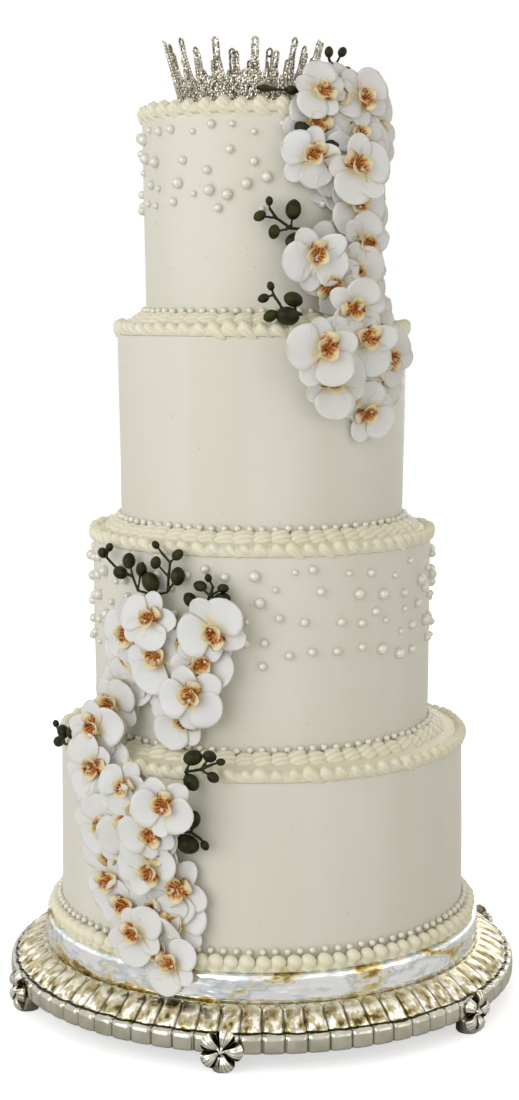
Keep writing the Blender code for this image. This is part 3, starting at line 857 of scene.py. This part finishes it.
def make_scattered_pearls(pearl):
    """Pearls of three sizes on the upper half of the first and third tiers."""
    rows = []
    for number, low, high, spacing, count in ((1, 86, 16, 11, 112), (3, 96, 16, 10, 215)):
        foot_radius, _, top_radius, top = tier_sizes(f"tier_{number}")
        azimuths, heights = scattered_places(top_radius, top - low * MM, top - high * MM, spacing * MM, count)
        sizes = DICE.choice(3, len(azimuths), p=(0.22, 0.40, 0.38))
        for size, radius in enumerate(SCATTERED_RADII):
            mine = sizes == size
            share = (top - heights[mine]) / (top - tier_sizes(f"tier_{number}")[1])
            wall = top_radius + (foot_radius - top_radius) * share
            places = cake_points(azimuths[mine], wall + 0.35 * radius, heights[mine])
            tones = DICE.random(mine.sum())
            rows.append(copies(pearl_form(radius), cake_frames(azimuths[mine]), places, tones))
    make_piece("scattered_pearls", joined(rows), [pearl])


# The plateau


def make_plateau_rim(silver):
    """The base's edge: flat-faced gadroons that step in, swell and run up to the drum between deep grooves.

    The profile gives distance in, height, groove depth and squareness. Round the rim, the groove is its depth
    times the distance from the gadroon's middle, 0 to 1, to the power of its squareness.
    """
    low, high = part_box("plateau_base")
    outer = 0.5 * (high[1] - low[1])
    foot, top = low[2], high[2]
    inner = tier_sizes("plateau_drum")[0]
    span = outer - inner
    # From the drum outwards and down: distance in from the edge, height, groove depth, squareness.
    profile = np.array(
        [
            (1.02, 1.0, 0.0, 2),
            (0.93, 1.0, 0.3, 2),
            (0.86, 0.97, 1.6, 3),
            (0.72, 0.93, 3.2, 4),
            (0.58, 0.86, 4.2, 4),
            (0.44, 0.77, 4.6, 4),
            (0.32, 0.68, 4.6, 4),
            (0.23, 0.58, 4.0, 4.5),
            (0.20, 0.52, 3.0, 5),
            (0.13, 0.50, 3.0, 6),
            (0.05, 0.46, 3.2, 7),
            (0.012, 0.40, 3.8, 8),
            (0.0, 0.28, 4.2, 9),
            (0.0, 0.14, 4.2, 9),
            (0.008, 0.05, 3.8, 8),
            (0.05, 0.0, 3.0, 6),
            (0.2, 0.0, 1.0, 4),
        ]
    )
    step = np.linspace(0, 1, len(profile))
    fine = np.linspace(0, 1, 44)
    inset, rise, depth, square = (np.interp(fine, step, column)[:, None] for column in profile.T)
    columns = 14 * GADROONS
    angle = TAU * np.arange(columns) / columns
    phase = np.abs(2 * ((angle * GADROONS / TAU) % 1) - 1)
    groove = phase[None, :] ** square
    radius = outer - span * inset - depth * MM * groove
    height = foot + (top - foot) * rise - 0.35 * depth * MM * groove * (inset > 0.1)
    crimp = np.exp(-((fine[:, None] - 0.53) / 0.035) ** 2) * np.cos(3 * TAU * (angle * GADROONS / TAU))
    radius = radius - 0.5 * MM * crimp
    rings = cake_points(angle[None, :], radius, height)
    # Painted shade: the tone drops in the grooves below the arch and along a dark line on the arch, and the
    # finish darkens there.
    arch = 0.05 + 0.12 * phase[None, :] ** 3
    line = np.exp(-(((fine[:, None] - arch) / 0.018) ** 2))
    tone = 1 - groove**0.8 * (fine[:, None] > arch) - 0.85 * line
    shape = poled_form((0, 0, top), rings, (0, 0, foot), np.clip(tone, 0, 1))
    make_piece("plateau_gadroons", shape, [silver], ["plateau_base"])


def make_drum(silver):
    """The raised middle: a plate whose side is beaten into small flat facets."""
    foot_radius, foot, top_radius, top = tier_sizes("plateau_drum")
    rows = 7
    down = np.linspace(0, 1, rows)[:, None]
    angle = TAU * (np.arange(DRUM_FACETS) + 0.5 * (np.arange(rows) % 2)[:, None]) / DRUM_FACETS
    angle = angle + DICE.normal(0, 0.16, angle.shape) * TAU / DRUM_FACETS
    radius = top_radius + (foot_radius - top_radius) * down + DICE.normal(0, 0.22 * MM, angle.shape)
    level = top - 0.4 * MM + (foot - top + 0.4 * MM) * down
    height = level + DICE.normal(0, 0.4 * MM, angle.shape) * (down > 0) * (down < 1)
    rim_radius = np.full((1, DRUM_FACETS), top_radius - 1.5 * MM)
    rim_height = np.full((1, DRUM_FACETS), top)
    radius = np.minimum(np.vstack([rim_radius, radius]), foot_radius)
    rings = cake_points(np.vstack([angle[:1], angle]), radius, np.vstack([rim_height, height]))
    tone = np.clip(DICE.normal(0.8, 0.3, rings.shape[:2]), 0, 1)
    shape = poled_form((0, 0, top), rings, (0, 0, foot), tone)
    make_piece("plateau_drum_hammered", shape, [silver], ["plateau_drum"])


def foot_form(size, depth):
    """A cast flower facing +Z: five cupped petals with veins round a bead, closed by a flat back."""
    columns = 80
    angle = TAU * np.arange(columns) / columns
    outline = size * (0.70 + 0.30 * np.abs(np.cos(2.5 * (angle - math.pi / 2))) ** 0.55)
    share = np.array([0.05, 0.13, 0.2, 0.3, 0.45, 0.62, 0.78, 0.9, 0.97, 1.0])[:, None]
    bead = 0.62 * np.exp(-((share / 0.13) ** 2))
    cup = 0.28 + 0.55 * np.sin(math.pi * np.minimum(share, 0.95) ** 1.6)
    gap = np.abs(np.sin(2.5 * (angle - math.pi / 2))) ** 6
    vein = 0.09 * np.cos(30 * angle) * share
    front = depth * (bead + (cup + vein) * (1 - 0.75 * gap * np.minimum(2.5 * share, 1)))
    reach = np.vstack([outline * share, outline * 0.98, outline * 0.4])
    lift = np.vstack([front, np.full(columns, 0.1 * depth), np.zeros(columns)])
    lift[9] = 0.35 * depth
    rings = np.stack([reach * np.sin(angle), reach * np.cos(angle), lift], -1)
    # Painted light on the cast flower: the tone drops for painted shade in the gaps between petals and in a
    # ring round the bead, rises for a painted highlight on the bead, swings along the veins, and stays low
    # for painted shade on the rim and back.
    ripple = 0.35 * np.cos(30 * angle) * np.minimum(2 * share, 1)
    painted_light = np.clip(0.85 - 1.4 * gap - 0.5 * np.exp(-(((share - 0.24) / 0.07) ** 2)) + bead + ripple, 0, 1)
    tone = np.vstack([np.broadcast_to(painted_light, front.shape), np.full((2, columns), 0.4)])
    return poled_form((0, 0, 0.9 * depth), rings, (0, 0, 0), tone)


def make_feet(silver):
    """The six flower feet, each on a short peg that stands on the ground."""
    for number in range(1, 7):
        node = f"plateau_foot_{number}"
        low, high = (np.array(corner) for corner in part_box(node))
        points = node_points(node)
        middle = 0.5 * (low + high)
        azimuth = math.atan2(middle[0], -middle[1])
        out = np.hypot(points[:, 0], points[:, 1])
        axes = cake_frames(np.array([azimuth]))
        size = 18.5 * MM
        depth = 9 * MM
        centre = cake_points(np.array([azimuth]), out.max() - depth - 0.6 * MM, low[2] + size + 0.2 * MM)
        flower = copies(foot_form(size, depth), axes, centre)
        turn = TAU * np.arange(20) / 20
        squash = np.array([[0.1], [0.92], [1.0], [1.0], [0.9], [0.1]])
        level = np.array([[1.0], [1.0], [0.9], [0.12], [0.0], [0.0]]) * 14 * MM
        across, inwards = 9 * MM * squash * np.cos(turn), 10 * MM * squash * np.sin(turn)
        peg_rings = np.stack([across, inwards, level + 0 * turn], -1)
        peg = poled_form((0, 0, 14 * MM), peg_rings[:, ::-1], (0, 0, 0))
        base = np.array([[math.sin(azimuth), -math.cos(azimuth), 0.0]])
        peg_axes = np.stack([axes[:, :, 0], axes[:, :, 2], axes[:, :, 1]], -1)
        peg = copies(peg, peg_axes, base * (out.max() - depth - 7 * MM))
        make_piece(f"flower_foot_{number}", joined([flower, peg]), [silver], [node])


# The tiara


def stone_form(size, longer):
    """A six-sided cut stone facing +Z, longer along Y: a flat table, a slanting crown and a blunt back."""
    around = TAU * np.arange(6) / 6
    radii = size * np.array([[0.55], [1.0], [0.8]])
    heights = size * np.array([[0.75], [0.2], [-0.6]])
    rings = np.stack([radii * np.sin(around), longer * radii * np.cos(around), heights + 0 * around], -1)
    return poled_form((0, 0, 0.75 * size), rings, (0, 0, -0.7 * size))


def spaced_along(points, pitch):
    """Places one pitch apart along a line of points."""
    reached = np.concatenate([[0], np.cumsum(np.linalg.norm(np.diff(points, axis=0), axis=1))])
    share = np.linspace(0, reached[-1], max(3, round(reached[-1] / pitch) + 1))
    return np.stack([np.interp(share, reached, column) for column in points.T], 1)


def tube_form(points, radius, out, sides=4, finish=0):
    """A thin wire along a line of points. out is the way that one of its sides faces at each of them."""
    ways = np.gradient(points, axis=0)
    ways /= np.linalg.norm(ways, axis=1)[:, None]
    across = np.cross(ways, out)
    across /= np.linalg.norm(across, axis=1)[:, None]
    out = np.cross(across, ways)
    around = TAU * np.arange(sides) / sides
    rings = points[:, None] + radius * (
        across[:, None] * np.cos(around)[None, :, None] + out[:, None] * np.sin(around)[None, :, None]
    )
    return poled_form(points[0], rings[:, ::-1], points[-1], None, finish)


def tiara_spikes():
    """(middle x, middle y), foot radius, foot height, flare, and each spike's (azimuth, tip height)."""
    points = node_points("tiara")
    foot = points[:, 2].min()
    ring = points[points[:, 2] < foot + 1 * MM]
    middle = 0.5 * (ring[:, :2].min(0) + ring[:, :2].max(0))
    local = points[:, :2] - middle
    radii = np.hypot(*local.T)
    azimuths = np.arctan2(local[:, 0], -local[:, 1])
    foot_radius = radii[points[:, 2] < foot + 1 * MM].max()
    tip = points[:, 2].argmax()
    flare = (radii[points[:, 2] > points[tip, 2] - 0.1 * MM].max() - foot_radius) / (points[tip, 2] - foot)
    spikes = []
    for number in range(TIARA_SPIKES):
        azimuth = azimuths[tip] + number * TAU / TIARA_SPIKES
        turn = np.abs((azimuths - azimuth + math.pi) % TAU - math.pi)
        spikes.append((azimuth, points[turn < 0.02, 2].max()))
    return middle, foot_radius - 1.7 * MM, foot, flare, spikes


def make_tiara(stone, wire):
    """A ring of stone-set spikes: outlines with a looped tip, drops inside them, and a lattice below.

    Each strand is a path of (azimuth, level) on the flaring cone. Two outlines close in by a power of the
    level left below the neck, tips and drops are ellipses, and the lattice's strands are sines of the level.
    """
    middle, foot_radius, foot, flare, spikes = tiara_spikes()
    tallest = max(tip for _, tip in spikes)
    step = TAU / TIARA_SPIKES
    share = np.linspace(0, 1, 28)
    loop = TAU * np.linspace(0, 1, 18)
    paths = []
    for height in (1.4, 4.0):
        whole = np.linspace(0, TAU, 200)
        paths.append((whole, np.full(200, height * MM)))
    for azimuth, tip in spikes:
        reach = tip - foot - 2.2 * MM
        tall = reach > tallest - foot - 12 * MM
        half = step * (0.62 if tall else 0.5)
        neck = 0.13 * step
        sway = DICE.normal(0, 0.05) * step
        for side in (-1, 1):
            spread = neck + (half - neck) * (1 - np.minimum(share / 0.80, 1)) ** 1.15
            paths.append((azimuth + side * spread + sway * share, reach * (0.06 + 0.85 * share)))
            inner = (0.5 + 0.32 * np.sin(14 * share)) * spread
            paths.append((azimuth + side * inner, reach * (0.05 + 0.75 * share)))
        paths.append((azimuth + sway + 0.14 * step * np.cos(loop), reach * (0.94 + 0.06 * np.sin(loop))))
        ring = 0.40 if tall else 0.47
        paths.append((azimuth + 0.24 * step * np.cos(loop), reach * (ring + 0.10 * np.sin(loop))))
        for lane in range(LATTICE_LANES):
            levels = (tallest - foot) * (0.03 + DICE.uniform(0.32, 0.46) * share)
            wave = 0.11 * step * np.cos(TAU * levels / LATTICE_HEIGHT + math.pi * lane)
            paths.append((azimuth + ((lane + 0.5) / LATTICE_LANES - 0.5) * step + wave, levels))
    stones, wires = [], []
    for azimuths, levels in paths:
        line = cake_points(azimuths, foot_radius + flare * levels, foot + levels)
        places = spaced_along(line, CRYSTAL_PITCH)
        around = np.arctan2(places[:, 0], -places[:, 1])
        out = cake_frames(around)[:, :, 2]
        wires.append(tube_form(places, 1.0 * MM, out, 4, 1))
        along = np.gradient(places, axis=0)
        along /= np.linalg.norm(along, axis=1)[:, None]
        across = np.cross(along, out)
        across /= np.linalg.norm(across, axis=1)[:, None]
        axes = np.stack([across, along, np.cross(across, along)], -1)
        tilted = axes @ turn_about("X", DICE.normal(-0.1, 0.2, len(places)))
        tilted = tilted @ turn_about("Y", DICE.normal(0, 0.3, len(places)))
        sizes = DICE.uniform(0.85, 1.15, len(places))
        tones = np.clip(DICE.uniform(0.25, 0.75) + DICE.normal(0, 0.15, len(places)), 0, 1)
        seats = places + 0.6 * MM * out
        stones.append(copies(stone_form(1.05 * MM, 1.5), tilted * sizes[:, None, None], seats, tones))
    shape = joined([*stones, *wires])
    shape["vertices"][:, :2] += middle
    make_piece("tiara_rhinestones", shape, [stone, wire], ["tiara"], smooth=False)


# Orchids and buds


def petal_form(reach, half_width, direction, lift, cup, curl, wave):
    """A petal from the flower's middle, over how far along it and how far across from -1 to 1.

    Half its width is the root of along times (1 - along), narrowed near the flower's middle. It rises by lift
    times along and by cup times the square of the distance across, and falls by curl times the square of
    along. A sine wave that grows with the cube of the distance across makes its edge wavy.
    """
    rows, columns = 10, 9
    along = 0.5 - 0.5 * np.cos(math.pi * (0.5 + np.arange(rows)) / rows)
    along = (along - along[0]) / (along[-1] - along[0])
    across = np.linspace(-1, 1, columns)
    open_up = np.minimum(along / 0.45, 1)
    width = half_width * np.sqrt(np.maximum(4 * (0.04 + 0.955 * along) * (1 - 0.995 * along), 0))
    width = width * (0.5 + 0.5 * open_up * open_up * (3 - 2 * open_up))
    x = width[:, None] * across
    y = np.broadcast_to(reach * along[:, None], x.shape)
    bulge = cup * (x / half_width) ** 2 - curl * (along[:, None] ** 2)
    ripple = wave * np.sin(7 * along[:, None] + 2 * across + 10 * direction) * np.abs(across) ** 3
    z = lift * along[:, None] + bulge + ripple
    points = np.stack([x, y, z], -1) @ turn_about("Z", direction - math.pi / 2).T
    uv = np.stack(np.broadcast_arrays(0.5 + 0.5 * across[None, :], along[:, None]), -1)
    return points, uv


def orchid_form(tone):
    """A moth orchid facing +Z with its lip towards -Y: three narrow sepals behind two broad petals."""
    parts = []

    def leaf(finish, depth, *sizes):
        points, uv = petal_form(*sizes)
        points[..., 2] += depth
        parts.append(sheet_form(points, uv, np.full(points.shape[:2], tone + DICE.normal(0, 0.08)), finish))

    for direction in (90, 233, 307):
        angle = math.radians(direction + DICE.normal(0, 4))
        size = DICE.normal(1, 0.04)
        cup = DICE.normal(1.4, 1.0) * MM
        curl = DICE.normal(1, 3.2) * MM
        leaf(0, -0.6 * MM, 30 * MM * size, 11.5 * MM * size, angle, 3 * MM, cup, curl, 0.9 * MM)
    for direction in (18, 162):
        angle = math.radians(direction + DICE.normal(0, 4))
        size = DICE.normal(1, 0.03)
        cup = DICE.normal(2.8, 1.6) * MM
        curl = DICE.normal(1.5, 3.5) * MM
        leaf(0, 0.5 * MM, 31 * MM * size, 18.5 * MM * size, angle, 3.5 * MM, cup, curl, 1.2 * MM)

    for side in (-1, 1):
        points, uv = petal_form(13.5 * MM, 8 * MM, math.pi / 2, 0, 4.5 * MM, 3.5 * MM, 0.8 * MM)
        rise = turn_about("X", np.array(DICE.normal(1.0, 0.15)))
        spread = turn_about("Z", np.array(side * DICE.normal(1.35, 0.2)))
        points = points @ rise.T @ spread.T
        points += np.array([-side * 0.6 * MM, -2.5 * MM, 0.8 * MM])
        parts.append(sheet_form(points, uv, None, 1))
    tongue, uv = petal_form(17 * MM, 7.5 * MM, -math.pi / 2, 0, -3.5 * MM, 4.5 * MM, 0.9 * MM)
    tongue = tongue @ turn_about("X", np.array(DICE.normal(-0.6, 0.12))).T
    tongue = tongue + np.array([0, -1.5 * MM, 1.5 * MM])
    parts.append(sheet_form(tongue, uv, None, 1))

    polar = np.linspace(0, math.pi, 7)[1:-1]
    around = TAU * np.arange(10) / 10
    knob = np.stack(
        [
            2.3 * MM * np.sin(polar)[:, None] * np.sin(around),
            2.3 * MM * np.sin(polar)[:, None] * np.cos(around),
            np.broadcast_to(-4.0 * MM * np.cos(polar)[:, None], (5, 10)),
        ],
        -1,
    )
    column = poled_form((0, 0, -4.0 * MM), knob, (0, 0, 4.0 * MM), None, 2)
    turn = turn_about("X", np.array([0.6]))
    parts.append(copies(column, turn, np.array([[0, 3.0 * MM, 2.6 * MM]])))
    return joined(parts)


def orchid_frame(node):
    """(axes, middle, size) of an orchid's solid.

    The way that its corners spread least is Z, the way they spread most is X, and -Y is where its lip lies.
    """
    points = node_points(node)
    centre = points.mean(0)
    ways = np.linalg.eigh(np.cov((points - centre).T))[1]
    out, right = ways[:, 0], ways[:, 2]
    heights = (points - centre) @ out
    if heights.max() < -heights.min():
        out, heights = -out, -heights
    lip = points[heights > heights.max() - 3 * MM].mean(0)
    down = lip - centre
    down = down - out * (down @ out) - right * (down @ right)
    up = -down / np.linalg.norm(down)
    right = np.cross(up, out)
    reach = 0.5 * np.ptp((points - centre) @ right)
    rim = points[heights < heights.max() - 5 * MM]
    middle = rim.mean(0)
    return np.stack([right, up, out], 1), middle, reach / (0.985 * PETAL_REACH)


def placed_orchid(axes, middle, size):
    """One flower at its place, with its own shade of white."""
    shape = orchid_form(float(np.clip(DICE.normal(0.35, 0.22), 0, 1)))
    return copies(shape, (size * axes)[None], middle[None])


def make_flowers(name, shape, finishes, nodes=()):
    """Flowers as a piece, with the thickness of stiffened cloth."""
    piece = make_piece(name, shape, finishes, nodes)
    wall = piece.modifiers.new("cloth", "SOLIDIFY")
    wall.thickness = 0.55 * MM
    wall.offset = 0


def make_orchids(finishes):
    """A flower for each orchid solid, and further ones behind them where the cascade would show a gap."""
    names = sorted(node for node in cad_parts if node.startswith("orchid_"))
    frames = [orchid_frame(node) for node in names]
    for node, (axes, middle, size) in zip(names, frames):
        make_flowers(f"{node}_bloom", placed_orchid(axes, middle, size), finishes, [node])

    middles = np.array([middle for _, middle, _ in frames])
    extras = []
    for first in range(len(frames)):
        for second in range(first + 1, len(frames)):
            gap = np.linalg.norm(middles[first] - middles[second])
            between = 0.5 * (middles[first] + middles[second])
            taken = np.array([*middles, *[place for place, _ in extras]])
            if not 34 * MM < gap < 66 * MM or np.linalg.norm(taken - between, axis=1).min() < BEHIND_GAP:
                continue
            facing = frames[first][0] + frames[second][0]
            out = facing[:, 2] / np.linalg.norm(facing[:, 2])
            extras.append((between, out))
    behind = []
    for between, out in extras:
        right = np.cross((0, 0, 1), out)
        right /= np.linalg.norm(right)
        upright = np.stack([right, np.cross(out, right), out], 1)
        spin = turn_about("Z", np.array(DICE.uniform(0, TAU)))
        tilt = turn_about("X", np.array(DICE.normal(0, 0.12)))
        behind.append(placed_orchid(upright @ spin @ tilt, between - 6 * MM * out, 0.9))
    make_flowers("orchids_behind", joined(behind), finishes)


def ellipsoid_form(radius, length):
    """A bud along Z, a little pointed at both ends."""
    polar = np.linspace(0, math.pi, 11)[1:-1]
    around = TAU * np.arange(14) / 14
    belly = np.sin(polar)[:, None] ** 1.08
    rings = np.stack(
        [
            radius * belly * np.sin(around),
            radius * belly * np.cos(around),
            np.broadcast_to(-length * np.cos(polar)[:, None], (9, 14)),
        ],
        -1,
    )
    return poled_form((0, 0, -length * 1.02), rings, (0, 0, length * 1.02))


def thick_places(node):
    """(centre, radius) of each bud in a sprig's solid.

    A point starts just inside each face and moves away from the nearest surface for as long as it gains room.
    """
    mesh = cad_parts[node].data
    places = [corner.co.copy() for corner in mesh.vertices]
    tree = BVHTree.FromPolygons(places, [tuple(face.vertices) for face in mesh.polygons])
    found = []
    for face in mesh.polygons:
        spot = face.center - 0.6 * MM * face.normal
        room = 0.0
        for _ in range(40):
            near, outwards = tree.find_nearest(spot)[:2]
            away = spot - near
            if away.dot(outwards) > 0 or away.length < room + 0.002 * MM:
                break
            room = away.length
            spot = spot + 0.25 * MM * away.normalized()
        if room > 1.45 * MM:
            found.append((room, np.array(spot)))
    found.sort(key=lambda pair: -pair[0])
    kept = []
    for room, spot in found:
        if all(np.linalg.norm(spot - other) > 1.5 * (room + size) for size, other in kept):
            kept.append((room, spot))
    return [(spot, room / 0.6) for room, spot in kept]


def make_bud_sprig(node, skin):
    """A sprig: its solid's stems rounded off, with a smooth bud over each thick place."""
    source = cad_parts[node]
    stems = bpy.data.objects.new("stems", source.data.copy())
    bpy.context.scene.collection.objects.link(stems)
    rebuild = stems.modifiers.new("rebuild", "REMESH")
    rebuild.mode = "VOXEL"
    rebuild.voxel_size = 0.75 * MM
    soften = stems.modifiers.new("soften", "SMOOTH")
    soften.factor = 0.5
    soften.iterations = 3
    graph = bpy.context.evaluated_depsgraph_get()
    mesh = stems.evaluated_get(graph).to_mesh()
    points = np.empty(3 * len(mesh.vertices))
    mesh.vertices.foreach_get("co", points)
    quads = np.array([tuple(face.vertices) for face in mesh.polygons if len(face.vertices) == 4])
    triangles = np.array([tuple(face.vertices) for face in mesh.polygons if len(face.vertices) == 3], int)
    stem_shape = form(points.reshape(-1, 3), quads, triangles.reshape(-1, 3))
    bpy.data.objects.remove(stems)

    corners = node_points(node)
    shapes = [stem_shape]
    for centre, radius in thick_places(node):
        near = corners[np.linalg.norm(corners - centre, axis=1) < 2.1 * radius]
        spread, ways = np.linalg.eigh(np.cov((near - centre).T))
        stretch = float(np.clip(math.sqrt(spread[2] / max(spread[1], 1e-12)), 1.02, 1.28))
        lean = ways[:, 2]
        side = np.cross(lean, (0.3, 0.2, 0.9))
        side /= np.linalg.norm(side)
        axes = np.stack([side, np.cross(lean, side), lean], 1)
        shapes.append(copies(ellipsoid_form(radius, radius * stretch), axes[None], centre[None]))
    make_piece(f"{node}_buds", joined(shapes), [skin], [node])


# The stage


def area_light(name, place, target, size, power, color):
    light = bpy.data.lights.new(name, "AREA")
    light.shape = "DISK"
    light.size = size
    light.energy = power
    light.color = color
    lamp = bpy.data.objects.new(name, light)
    lamp.location = place
    lamp.rotation_euler = (Vector(target) - Vector(place)).to_track_quat("-Z", "Y").to_euler()
    bpy.context.scene.collection.objects.link(lamp)


def make_stage():
    """A pale floor, a white surrounding, a large soft key from the front left and a weak warm fill."""
    floor_mesh = bpy.data.meshes.new("floor")
    half = 6.0
    corners = [(-half, -half, 0), (half, -half, 0), (half, half, 0), (-half, half, 0)]
    floor_mesh.from_pydata(corners, [], [(0, 1, 2, 3)])
    floor = bpy.data.objects.new("floor", floor_mesh)
    floor.location.z = CAD_BOX[0][2] - 0.2 * MM
    bpy.context.scene.collection.objects.link(floor)
    finish = Finish("pale floor", (0.86, 0.86, 0.86), 0.9)
    output = finish.tree.nodes["Material Output"]
    glow = finish.add("ShaderNodeEmission")
    glow.inputs["Strength"].default_value = 0.62
    both = finish.add("ShaderNodeAddShader")
    finish.put(both, 0, finish.shader.outputs[0])
    finish.put(both, 1, glow.outputs[0])
    choose = finish.add("ShaderNodeMixShader")
    path = finish.add("ShaderNodeLightPath")
    finish.put(choose, 0, path.outputs["Is Camera Ray"])
    finish.put(choose, 1, finish.shader.outputs[0])
    finish.put(choose, 2, both.outputs[0])
    finish.put(output, "Surface", choose.outputs[0])
    floor_mesh.materials.append(finish.material)

    world = bpy.data.worlds.new("studio")
    bpy.context.scene.world = world
    world.use_nodes = True
    tree = world.node_tree
    soft = tree.nodes["Background"]
    soft.inputs["Color"].default_value = (0.95, 0.93, 0.88, 1)
    soft.inputs["Strength"].default_value = 0.54
    white = tree.nodes.new("ShaderNodeBackground")
    white.inputs["Color"].default_value = (1, 1, 1, 1)
    white.inputs["Strength"].default_value = 1.0
    light_path = tree.nodes.new("ShaderNodeLightPath")
    seen = tree.nodes.new("ShaderNodeMath")
    seen.operation = "MAXIMUM"
    tree.links.new(light_path.outputs["Is Camera Ray"], seen.inputs[0])
    tree.links.new(light_path.outputs["Is Glossy Ray"], seen.inputs[1])
    mix = tree.nodes.new("ShaderNodeMixShader")
    tree.links.new(seen.outputs[0], mix.inputs[0])
    tree.links.new(soft.outputs[0], mix.inputs[1])
    tree.links.new(white.outputs[0], mix.inputs[2])
    tree.links.new(mix.outputs[0], tree.nodes["World Output"].inputs["Surface"])

    area_light("key", (-2.0, -2.2, 1.25), (0, 0, 0.42), 3.4, 46, (1.0, 0.99, 0.98))
    area_light("fill", (1.8, -1.4, 0.9), (0, 0, 0.4), 1.6, 5, (1.0, 0.90, 0.72))
    area_light("back", (0.9, 2.6, 1.3), (0, 0, 0.4), 2.4, 16, (1.0, 0.98, 0.94))


def make_camera():
    data = bpy.data.cameras.new("camera")
    data.lens = CAMERA_LENS
    data.sensor_width = 36
    camera = bpy.data.objects.new("camera", data)
    camera.location = (-0.0022, -CAMERA_DISTANCE, CAMERA_HEIGHT)
    camera.rotation_euler = (math.radians(90 - CAMERA_PITCH), 0, 0)
    bpy.context.scene.collection.objects.link(camera)
    bpy.context.scene.camera = camera


def main():
    icing = smoothed_buttercream()
    cream = piped_buttercream()
    pearl = sugar_pearl()
    silver = polished_silver()
    petals = [petal_fabric(), lip_fabric(), column_wax()]
    skin = bud_skin()

    for number in (1, 2, 3, 4):
        make_tier(f"tier_{number}", icing)
    make_top_border(cream)
    for number in (2, 3, 4):
        make_ledge(number, cream)
    make_base_row(cream)
    make_pearl_strings(pearl)
    make_scattered_pearls(pearl)
    make_plateau_rim(gadrooned_silver())
    make_drum(hammered_silver())
    make_feet(silver)
    make_tiara(rhinestone(), tiara_wire())
    for node in sorted(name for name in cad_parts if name.startswith("bud_sprig_")):
        make_bud_sprig(node, skin)
    make_orchids(petals)
    make_stage()
    make_camera()
    bpy.context.scene.view_settings.view_transform = "Standard"


main()
